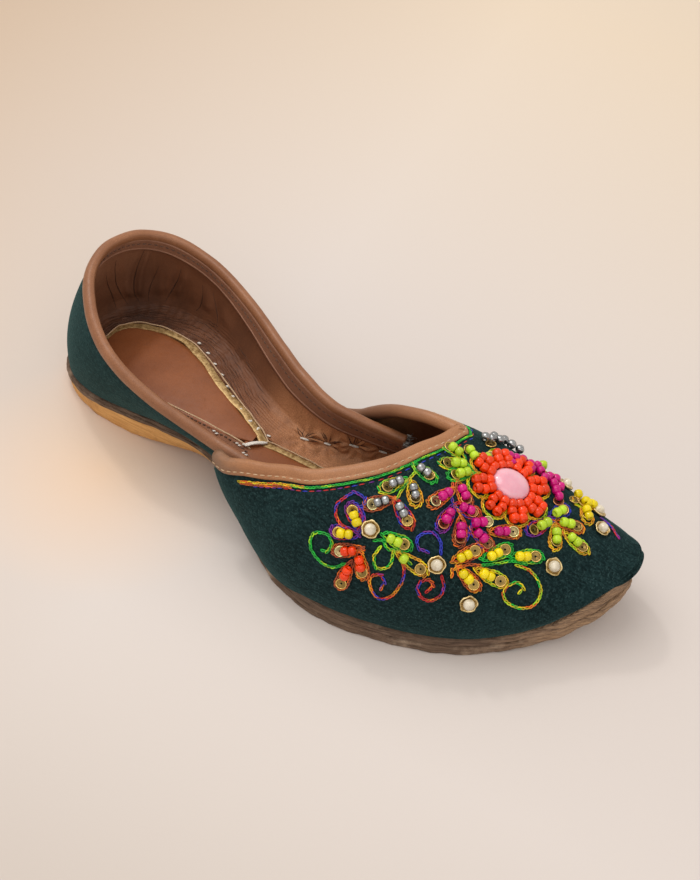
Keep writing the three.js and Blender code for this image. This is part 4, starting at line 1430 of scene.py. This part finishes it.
# Colours of the threads
RED = (0.62, 0.012, 0.018)
ORANGE = (0.9, 0.17, 0.005)
GOLD = (0.88, 0.38, 0.004)
YELLOW = (0.9, 0.72, 0.006)
LIME = (0.4, 0.75, 0.008)
GREEN = (0.003, 0.5, 0.04)
BLUE = (0.018, 0.035, 0.55)
PURPLE = (0.2, 0.012, 0.3)
RUST = (0.42, 0.075, 0.02)
THREADS = {
    "red": (RED, RED, BLUE, RED, ORANGE), "orange": (ORANGE, GOLD, ORANGE, RUST),
    "gold": (GOLD, YELLOW, GOLD), "yellow": (YELLOW, GOLD, YELLOW, LIME), "rust": (RUST, RUST, ORANGE),
    "green": (GREEN, GREEN, GREEN, LIME), "lime": (LIME, YELLOW, GREEN),
    "blue": (BLUE, BLUE, BLUE, PURPLE), "purple": (PURPLE, BLUE, RED, PURPLE),
    "sunset": (ORANGE, RED, BLUE, ORANGE, GOLD), "mixed": (YELLOW, LIME, ORANGE, YELLOW, GREEN),
    "throat": (GREEN, GREEN, LIME, GREEN), "start": (YELLOW, GOLD, YELLOW, ORANGE),
}


def strand_body(hand):
    """One side of a link of chain stitch, along x from its narrow end."""
    stamps = Stamps()
    path = []
    steps = 6
    for i in range(steps + 1):
        along = i / steps
        path.append(Vector((
            2.15 * along - 0.3, hand * (0.08 + 0.38 * sin(pi * along) * (0.5 + 0.5 * along)),
            0.2 + 0.28 * sin(pi * along),
        )))
    stamps.tube(path, 0.25, 5)
    return stamps.points, stamps.faces


strands = [strand_body(-1), strand_body(1)]
CHAIN_PITCH = 1.42
# Length of thread in one colour
COLOUR_RUN = 2.9
chain = Stamps()
chance = random.Random(11)


def scaled(colour, value):
    return tuple(min(part * value, 1.0) for part in colour)


def blend_tint(palette, run):
    """Colour along a variegated thread."""
    colours = THREADS[palette]
    place = run / COLOUR_RUN + drift(run * 0.05, len(palette), 0.3)
    index = floor(place) % len(colours)
    share = clamp((place % 1.0) * 3 - 1)
    a, b = colours[index], colours[(index + 1) % len(colours)]
    return scaled([p + (q - p) * share for p, q in zip(a, b)], chance.uniform(0.5, 1.2))


def chain_stitch(trail, palette, start=0.0, stop=0.0, offset=0.0, size=1.0):
    """Chain stitch along a trail, each of its two strands with its own run of colours."""
    distance = start
    while distance < trail.length - stop:
        point, along, normal = trail.at(distance)
        side = normal.cross(along).normalized()
        lean = Matrix.Rotation(chance.uniform(-0.14, 0.14), 4, "Z")
        matrix = facing(point + side * offset, along, normal) @ lean @ Matrix.Scale(size, 4)
        for k, strand in enumerate(strands):
            chain.add(strand, matrix, blend_tint(palette, distance + k * 2.3 + offset * 7))
        distance += CHAIN_PITCH * size * chance.uniform(0.93, 1.07)


bead_body = torus(1.02, 0.7, 14, 9, 1.9)
beads = Stamps()
silver_beads = Stamps()
# Colours of the beads
ORANGE_GLASS = (0.9, 0.05, 0.0008)
YELLOW_GLASS = (0.92, 0.72, 0.002)
LIME_GLASS = (0.52, 0.74, 0.03)
MAGENTA_GLASS = (0.62, 0.0015, 0.2)
SILVER_GLASS = (0.42, 0.43, 0.44)


def bead(point, along, normal, colour, size=1.0):
    """Seed bead lying on the cloth with its hole along a direction."""
    tint = scaled(colour, chance.uniform(0.85, 1.12))
    matrix = facing(point + normal * (1.6 * size), normal, along)
    matrix = matrix @ Matrix.Scale(size * chance.uniform(0.95, 1.05), 4)
    (silver_beads if colour is SILVER_GLASS else beads).add(bead_body, matrix, tint)


sequin_body = lathe(
    [(0.38, 0.12), (0.5, 0.02), (1.1, 0.05), (1.85, 0.34), (1.95, 0.42), (1.88, 0.5), (1.1, 0.2), (0.5, 0.17),
     (0.38, 0.12)],
    22,
)
sequin_rim = torus(1.82, 0.2, 20, 5, 1.0)
sequins = Stamps()
# Colours of the sequins
BRONZE = (0.6, 0.4, 0.12)
COPPER = (0.62, 0.27, 0.11)
PALE_GOLD = (0.95, 0.74, 0.34)


def sequin(point, along, normal, colour, tilt=0.25):
    """Cupped sequin on the cloth, tilted about its own y, with painted shade on its cup and a painted
    highlight on its rim.
    """
    tint = scaled(colour, chance.uniform(0.75, 1.2))
    matrix = facing(point + normal * 0.5, along, normal) @ Matrix.Rotation(-tilt, 4, "Y")
    # One tint, halved for painted shade on the cup and raised for a painted highlight on the rim
    sequins.add(sequin_body, matrix, scaled(tint, 0.5))
    sequins.add(sequin_rim, matrix @ Matrix.Translation((0, 0, 0.42)), scaled(tint, 1.45))


def leaf(inner, outer, colour, palette, metal, count=2):
    """Leaf of beads ending in a sequin, inside a loop of chain stitch if it has a palette."""
    start, _ = on_cloth(*inner)
    end, normal = on_cloth(*outer)
    along = (end - start).normalized()
    length = (end - start).length
    for k in range(count):
        place, up = snapped(start + along * (1.4 + 2.6 * k))
        bead(place, along, up, colour)
    sequin(end - along * 0.5, along, normal, metal)
    if palette is None:
        return
    side = normal.cross(along).normalized()
    reach = length + 3.8
    pairs = []
    steps = 40
    for i in range(steps + 1):
        turn = pi * 2 * (0.02 + 0.96 * i / steps)
        share = (1 - cos(turn)) / 2
        wide = 2.75 * sin(turn) * (0.45 + 0.55 * share)
        pairs.append(snapped(start + along * (-1.6 + reach * share) + side * wide))
    chain_stitch(Trail(pairs), palette)


# Leaves by the colour of their beads: inner end and sequin end, each x and across, then thread and sequin
LEAVES = [
    (SILVER_GLASS, [
        (164.5, -0.28, 170, -0.29, "green", BRONZE), (163, -0.36, 159.5, -0.42, "lime", BRONZE),
        (166.5, -0.36, 170, -0.41, "gold", BRONZE), (162.5, -0.46, 158, -0.51, "rust", PALE_GOLD),
        (165.5, -0.46, 171.5, -0.51, "red", BRONZE),
    ]),
    (YELLOW_GLASS, [
        (157.5, -0.61, 153, -0.56, "purple", BRONZE), (157, -0.65, 151.5, -0.67, "purple", BRONZE),
    ]),
    (ORANGE_GLASS, [
        (160, -0.7, 154.5, -0.74, "rust", PALE_GOLD), (161.5, -0.72, 164.5, -0.79, "orange", BRONZE),
        (159.5, -0.78, 158.5, -0.88, "rust", BRONZE),
    ]),
    (LIME_GLASS, [
        (167.5, -0.6, 174, -0.6, "green", BRONZE),
    ]),
    (MAGENTA_GLASS, [
        (178, -0.3, 175.5, -0.38, "orange", PALE_GOLD), (179.5, -0.26, 184, -0.3, "orange", COPPER),
        (183, -0.34, 188, -0.33, "red", COPPER), (181.5, -0.37, 181.5, -0.45, "purple", COPPER),
        (186, -0.4, 188.5, -0.47, "rust", COPPER), (189, -0.38, 193.5, -0.33, None, PALE_GOLD),
        (191, -0.4, 197, -0.43, "red", COPPER), (196.5, -0.36, 202, -0.31, "orange", PALE_GOLD),
    ]),
    (LIME_GLASS, [
        (174, -0.13, 168.5, -0.12, "lime", BRONZE), (178.5, -0.11, 174, -0.08, None, BRONZE),
        (177, -0.16, 171.5, -0.2, "lime", BRONZE), (179.5, -0.18, 176, -0.23, "green", BRONZE),
        (209.5, -0.12, 211.5, -0.05, "blue", BRONZE), (209.5, -0.17, 206.5, -0.26, "purple", BRONZE),
        (212.5, -0.14, 218.5, -0.1, "orange", BRONZE), (212.5, -0.19, 215, -0.27, "gold", BRONZE),
        (217, -0.19, 223.5, -0.22, "yellow", BRONZE),
    ]),
    (YELLOW_GLASS, [
        (190.5, -0.56, 194.5, -0.48, "orange", BRONZE), (198.5, -0.49, 202.5, -0.41, "green", BRONZE),
        (206, -0.43, 212, -0.39, "green", BRONZE), (193, -0.6, 199, -0.65, "orange", BRONZE),
        (198.5, -0.57, 206, -0.59, "yellow", BRONZE), (216.5, 0.12, 219.5, 0.0, "gold", BRONZE),
        (219, 0.34, 214, 0.16, "yellow", BRONZE),
    ]),
]
for glass, leaves in LEAVES:
    for x, across, end_x, end_across, palette, metal in leaves:
        leaf((x, across), (end_x, end_across), glass, palette, metal)
leaf((174, -0.65), (182, -0.67), LIME_GLASS, "gold", BRONZE, 1)

# Lines of chain stitch: thread, then corners of (x, across)
SWIRLS = [
    ("blue", [(153.5, -0.55), (155.5, -0.53), (155, -0.5), (151.5, -0.495), (149.5, -0.52)]),
    ("red", [(149.5, -0.52), (148, -0.56), (148.5, -0.6), (151, -0.63), (153.5, -0.64)]),
    ("purple", [(155.5, -0.54), (158, -0.57), (158, -0.62)]),
    ("green", [
        (158, -0.78), (154, -0.82), (149.5, -0.82), (145.5, -0.79), (144, -0.75), (145, -0.715),
        (148.5, -0.7), (151, -0.72), (151, -0.76), (149, -0.77),
    ]),
    ("blue", [
        (185.5, -0.57), (183.5, -0.52), (180.5, -0.5), (178, -0.515), (176.5, -0.55), (178, -0.585),
        (180.5, -0.585),
    ]),
    ("red", [
        (188.5, -0.66), (190.5, -0.71), (190.5, -0.76), (188.5, -0.8), (185.5, -0.8), (183.3, -0.77),
        (183.3, -0.73), (185, -0.705), (187, -0.72), (186.5, -0.75),
    ]),
    ("sunset", [
        (175.5, -0.67), (177.5, -0.73), (177, -0.81), (175, -0.86), (172.5, -0.88), (169.5, -0.86),
        (167.7, -0.82), (167.8, -0.79), (170, -0.77), (172, -0.79), (172, -0.82),
    ]),
    ("mixed", [
        (207.5, -0.475), (212, -0.485), (216, -0.54), (218.5, -0.64), (217.8, -0.74), (214.8, -0.76),
        (211, -0.73), (208.5, -0.68), (208, -0.62), (210, -0.58), (212.5, -0.6), (212.5, -0.64),
    ]),
    ("lime", [
        (167, -0.65), (166.3, -0.7), (168, -0.74), (171, -0.73), (172, -0.69), (171.5, -0.65), (174, -0.64),
        (177, -0.66),
    ]),
    ("lime", [(165, -0.3), (164.5, -0.36), (164.5, -0.44)]),
    ("sunset", [(177, -0.26), (180, -0.33), (185, -0.37), (189, -0.41), (194, -0.44)]),
    ("blue", [(186, -0.33), (189, -0.37), (190.5, -0.46)]),
    ("orange", [(210.5, -0.17), (213.5, -0.18), (218, -0.21)]),
    ("orange", [(191.5, -0.65), (191.2, -0.61), (194.5, -0.56), (198, -0.54)]),
    ("green", [(198, -0.54), (202, -0.5), (206, -0.46), (210, -0.45)]),
    ("rust", [(162, -0.68), (158, -0.74)]),
    ("green", [(164, -0.64), (166.5, -0.625), (169, -0.645), (172.5, -0.64)]),
    ("purple", [(223, 0.2), (227, 0.2), (231, 0.12)]),
]
for palette, corners in SWIRLS:
    chain_stitch(cloth_trail(corners), palette)

# The oval stone's length, width and height, and its turn on the cloth
STONE_SIZE = (14.5, 12.5, 4.2)
STONE_TURN = 0.5
stone_middle, stone_out = on_cloth(192.5, -0.12)

# Flower: petals of glass beads round the stone, with yellow thread outside them
flower_along = Vector((cos(STONE_TURN), sin(STONE_TURN), 0))
flower_along = (flower_along - stone_out * flower_along.dot(stone_out)).normalized()
flower_side = stone_out.cross(flower_along)
half_length, half_width = STONE_SIZE[0] / 2, STONE_SIZE[1] / 2
PETALS = 8
for k in range(PETALS):
    turn = 2 * pi * (k + 0.35) / PETALS
    ray = (flower_along * cos(turn) + flower_side * sin(turn)).normalized()
    cross = stone_out.cross(ray)
    # Distance from the stone's middle to its rim
    near = half_length * half_width / hypot(half_width * cos(turn), half_length * sin(turn))
    for distance, spread in ((1.2, -1.45), (1.2, 1.45), (3.8, -2.05), (3.8, 2.05), (6.3, -1.6), (6.3, 1.6)):
        point, normal = snapped(stone_middle + ray * (near + distance) + cross * spread)
        lean = (ray + cross * (spread * 0.1)).normalized()
        bead(point, lean, normal, ORANGE_GLASS, 1.08)
    arc = []
    for i in range(25):
        swing = radians(-105 + 210 * i / 24)
        place = stone_middle + ray * (near + 4.2 + 5.0 * cos(swing)) + cross * (4.7 * sin(swing))
        arc.append(snapped(place))
    chain_stitch(Trail(arc), "yellow" if k % 3 else "gold")

# Loose clusters of beads over the medial side: colour, then places of (x, across)
CLUSTERS = [
    (SILVER_GLASS, [
        (176, 0.06), (178, 0.1), (177.5, 0.2), (180, 0.2), (180.5, 0.3), (183.5, 0.3), (186.5, 0.34),
    ]),
    (MAGENTA_GLASS, [(186.5, 0.02), (188.5, 0.05), (188.5, -0.02), (190.5, 0.1)]),
    (MAGENTA_GLASS, [(193.5, 0.12), (195.5, 0.18), (195, 0.06), (197.5, 0.14)]),
    (LIME_GLASS, [(196.5, 0.3), (181, -0.07)]),
    (MAGENTA_GLASS, [
        (200, 0.08), (201, 0.15), (203, 0.2), (203.5, 0.1), (206, 0.13), (205.5, 0.03), (207.5, -0.01),
    ]),
    (YELLOW_GLASS, [(212, 0.26), (215.5, 0.24), (217.5, 0.28)]),
]
for colour, spots in CLUSTERS:
    for spot in spots:
        point, normal = on_cloth(*spot)
        lean = chance.uniform(0, pi)
        bead(point, Vector((cos(lean), sin(lean), 0)), normal, colour)
for spot, metal in (
    ((181.5, -0.045), PALE_GOLD), ((191, 0.14), BRONZE), ((198.5, 0.16), BRONZE), ((201.5, 0.3), BRONZE),
    ((208.5, -0.03), COPPER), ((212.5, 0.12), BRONZE), ((179, 0.04), BRONZE),
):
    point, normal = on_cloth(*spot)
    sequin(point, Vector((1, 0.3, 0)), normal, metal, 0.35)

# Double row under the throat: chain stitch, and a thin broken second line below it
def under_throat(below):
    """Trail along the lateral part of the throat, so far below its edge, and lower at the wing's tip."""
    row = []
    for middle, out, up in throat_places:
        if middle.y > 4:
            continue
        extra = 1.8 * exp(-((middle - throat_places[0][0]).length / 28) ** 2)
        row.append(snapped(middle - up * (below + extra) + out))
    return Trail(row)


throat_row = under_throat(2.9)
chain_stitch(throat_row, "start", 14.0, throat_row.length - 40, 0.3, 0.8)
chain_stitch(throat_row, "rust", 15.0, throat_row.length - 36, -0.5, 0.75)
chain_stitch(throat_row, "throat", 36.0, 1.0, 0.15, 0.8)
second_row = under_throat(4.0)
dash = stitch_body(2.0, 0.22, 0.2)
distance = 22.0
while distance < second_row.length - 1:
    point, along, normal = second_row.at(distance)
    tint = chance.choice((RED, BLUE, PURPLE, RED, BLUE))
    chain.add(dash, facing(point, along, normal), tint)
    distance += 2.5 if distance < 60 else 3.4

chain_thread = tinted_finish("embroidery_thread", 0.42, 0.3, Specular_IOR_Level=0.5)
chain.build("chain_stitches", chain_thread, tinted=True)
bead_glass = tinted_finish("bead_glass", 0.14, 0.25, Specular_IOR_Level=0.42)
beads.build("seed_beads", bead_glass, tinted=True)
silver = tinted_finish("silver_beads", 0.2, 0.25, Metallic=0.9)
silver_beads.build("silver_beads", silver, tinted=True)
sequin_metal = tinted_finish("sequin_metal", 0.24, 0.3, Metallic=0.9)
sequins.build("sequins", sequin_metal, tinted=True)

# Pearls in gold cups, whose rims are crimped
PEARL_RADIUS = 2.15
PEARL_STEPS = 26
turns = [pi * (i / 14 - 0.5) for i in range(15)]
pearl_body = lathe([(PEARL_RADIUS * cos(turn), PEARL_RADIUS * sin(turn)) for turn in turns], PEARL_STEPS)
cup_body = lathe([
    (0.0, 0.0), (2.6, 0.0), (3.25, 0.5), (3.4, 1.2), (3.15, 1.5), (2.75, 1.15), (2.45, 0.6), (0.0, 0.35),
], PEARL_STEPS)
for point in cup_body[0]:
    turn = atan2(point.y, point.x)
    crimp = 1 + 0.05 * sin(5 * turn) + 0.035 * sin(8 * turn + 1.0)
    if hypot(point.x, point.y) > 2.4:
        point.x *= crimp
        point.y *= crimp
PEARLS = [
    (161.5, -0.6), (185.5, -0.62), (199.5, -0.76), (218, -0.42), (221, 0.3), (225.5, 0.0), (206.5, 0.34),
]
pearls = Stamps()
cups = Stamps()
for k, spot in enumerate(PEARLS):
    point, normal = on_cloth(*spot)
    size = 0.95 if spot[1] < -0.3 else 0.85
    matrix = facing(point, Vector((1, 0.2, 0)), normal)
    cups.add(cup_body, matrix @ Matrix.Translation((0, 0, 0.1)) @ Matrix.Scale(size, 4))
    pearls.add(pearl_body, matrix @ Matrix.Translation((0, 0, 1.7 * size)) @ Matrix.Scale(size, 4))
nacre = flecked_finish(
    "pearl", 0.22, (500.0, 3.0, 0.6), (0.55, 0.47, 0.34), (0.8, 0.74, 0.6), (0.15, 0.1),
    Coat_Weight=0.5, Coat_Roughness=0.1,
)
pearls.build("pearls", nacre)
cup_metal = flecked_finish(
    "cup_metal", 0.24, (800.0, 4.0, 0.6), (0.5, 0.34, 0.12), (0.98, 0.82, 0.46), (0.5, 0.15),
    top=0.7, rough=(0.18, 0.4), Metallic=0.95,
)
cups.build("pearl_cups", cup_metal)

# Oval stone: half its profile, for a length and height of 1
stone_profile = [(0.0, 0.0), (0.47, 0.0), (0.5, 0.05), (0.5, 0.25)]
stone_profile += [
    (0.5 * cos(pi / 2 * i / 14), 0.25 + 0.75 * sin(pi / 2 * i / 14)) for i in range(1, 14)
] + [(0.0, 1.0)]
stone_points, stone_faces = lathe(stone_profile, 64)
stone_matrix = (
    Matrix.Translation(stone_middle + stone_out * GAP)
    @ Vector((0, 0, 1)).rotation_difference(stone_out).to_matrix().to_4x4()
    @ Matrix.Rotation(STONE_TURN, 4, "Z") @ Matrix.Diagonal((*STONE_SIZE, 1))
)
stone_finish = flecked_finish(
    "pink_stone", 0.16, (170.0, 3.0, 0.5), (0.76, 0.35, 0.44), (0.84, 0.44, 0.52), (0.1, 0.15),
    Coat_Weight=0.7, Coat_Roughness=0.06, Subsurface_Weight=0.25, Subsurface_Scale=0.002,
    Subsurface_Radius=(1.0, 0.5, 0.5),
)
stone_body = [stone_matrix @ point for point in stone_points], stone_faces
piece("pink_stone", stone_body, stone_finish, ["centre_stone"])


# ---------------------------------------------------------------- floor, light and camera
FLOOR_DARK = (0.645, 0.585, 0.555)
FLOOR_LIGHT = (0.69, 0.63, 0.597)
# Warm light that the shoe throws on the floor beside the heel: its colour, and its middle in the pattern
FLOOR_GLOW = (0.86, 0.6, 0.4)
FLOOR_GLOW_AT = (46.66, -50.28, 0)
# Painted shade on the floor, warmer towards the back and darker towards the left and the front: direction,
# where the change starts and stops along it in metres, colour
FLOOR_SHADES = [
    ((0.0, 1.0, 0.0), 0.1, 0.36, (0.731, 0.617, 0.495)),
    ((-1.0, -0.1, 0.0), 0.05, 0.3, (0.54, 0.42, 0.32)),
    ((0.0, -1.0, 0.0), 0.08, 0.18, (0.587, 0.523, 0.478)),
]

paper = Finish("floor_paper", 0.9, Specular_IOR_Level=0.15)
soft = paper.noise(1.3, 2.0, 0.5)
fine = paper.noise(260.0, 3.0, 0.6)
pale = paper.mix(paper.grey(soft, 0.35, 0.65), FLOOR_DARK, FLOOR_LIGHT)
# Painted shade across the floor
for direction, start, stop, colour in FLOOR_SHADES:
    away = paper.node(
        "ShaderNodeVectorMath", "Value", {0: paper.coordinates, 1: direction}, operation="DOT_PRODUCT",
    )
    pale = paper.mix(paper.grey(away, start, stop), pale, colour)
paper.colour(paper.mix(paper.grey(paper.distance(FLOOR_GLOW_AT), 0.0, 0.06, 0.7, 0.0), pale, FLOOR_GLOW))
bpy.ops.mesh.primitive_plane_add(size=8)
plane = bpy.context.object
plane.name = "floor"
plane.data.materials.append(paper.bump((fine, 0.25, 0.2)))


def area_light(name, place, target, size, power, colour):
    """Round lamp at a place in the frame, in metres, aimed at a target."""
    light = bpy.data.lights.new(name, "AREA")
    light.shape = "DISK"
    light.size = size
    light.energy = power
    light.color = colour
    obj = bpy.data.objects.new(name, light)
    obj.location = place
    obj.rotation_euler = (Vector(target) - Vector(place)).to_track_quat("-Z", "Y").to_euler()
    bpy.context.scene.collection.objects.link(obj)


area_light("key", (-0.35, 0.05, 0.95), (0, 0, 0), 0.9, 4.4, (1.0, 0.97, 0.93))
area_light("fill", (0.5, -0.7, 0.7), (0, 0, 0), 1.0, 2.0, (1.0, 0.96, 0.92))
area_light("sparkle", (-0.5, 0.25, 0.9), (0.06, 0, 0), 0.1, 1.2, (1.0, 0.98, 0.95))
world = bpy.data.worlds.new("studio")
world.use_nodes = True
background = world.node_tree.nodes["Background"].inputs
background["Color"].default_value = (1.0, 0.955, 0.9, 1)
background["Strength"].default_value = 0.74
bpy.context.scene.world = world
bpy.context.scene.view_settings.view_transform = "Standard"

# The camera of the photo: its turn round the shoe, rise, roll, distance from its target, lens and shift
CAMERA_TURN = radians(26.0)
CAMERA_RISE = radians(48.0)
CAMERA_ROLL = radians(6.388)
CAMERA_DISTANCE = 0.5659
CAMERA_LENS = 61.36
CAMERA_SHIFT = (0.0024, 0.0016)
camera_target = Vector((3.34, 15.28, 20.0)) * MM
back = Vector((
    sin(CAMERA_TURN) * cos(CAMERA_RISE), -cos(CAMERA_TURN) * cos(CAMERA_RISE),
    sin(CAMERA_RISE),
))
level = Vector((cos(CAMERA_TURN), sin(CAMERA_TURN), 0))
rise = back.cross(level)
right = level * cos(CAMERA_ROLL) + rise * sin(CAMERA_ROLL)
top = rise * cos(CAMERA_ROLL) - level * sin(CAMERA_ROLL)
camera_data = bpy.data.cameras.new("camera")
camera_data.lens = CAMERA_LENS
camera_data.sensor_width = 36.0
camera_data.shift_x, camera_data.shift_y = CAMERA_SHIFT
camera = bpy.data.objects.new("camera", camera_data)
place = camera_target + back * CAMERA_DISTANCE
camera.matrix_world = Matrix((
    (right.x, top.x, back.x, place.x), (right.y, top.y, back.y, place.y), (right.z, top.z, back.z, place.z),
    (0, 0, 0, 1),
))
bpy.context.scene.collection.objects.link(camera)
bpy.context.scene.camera = camera
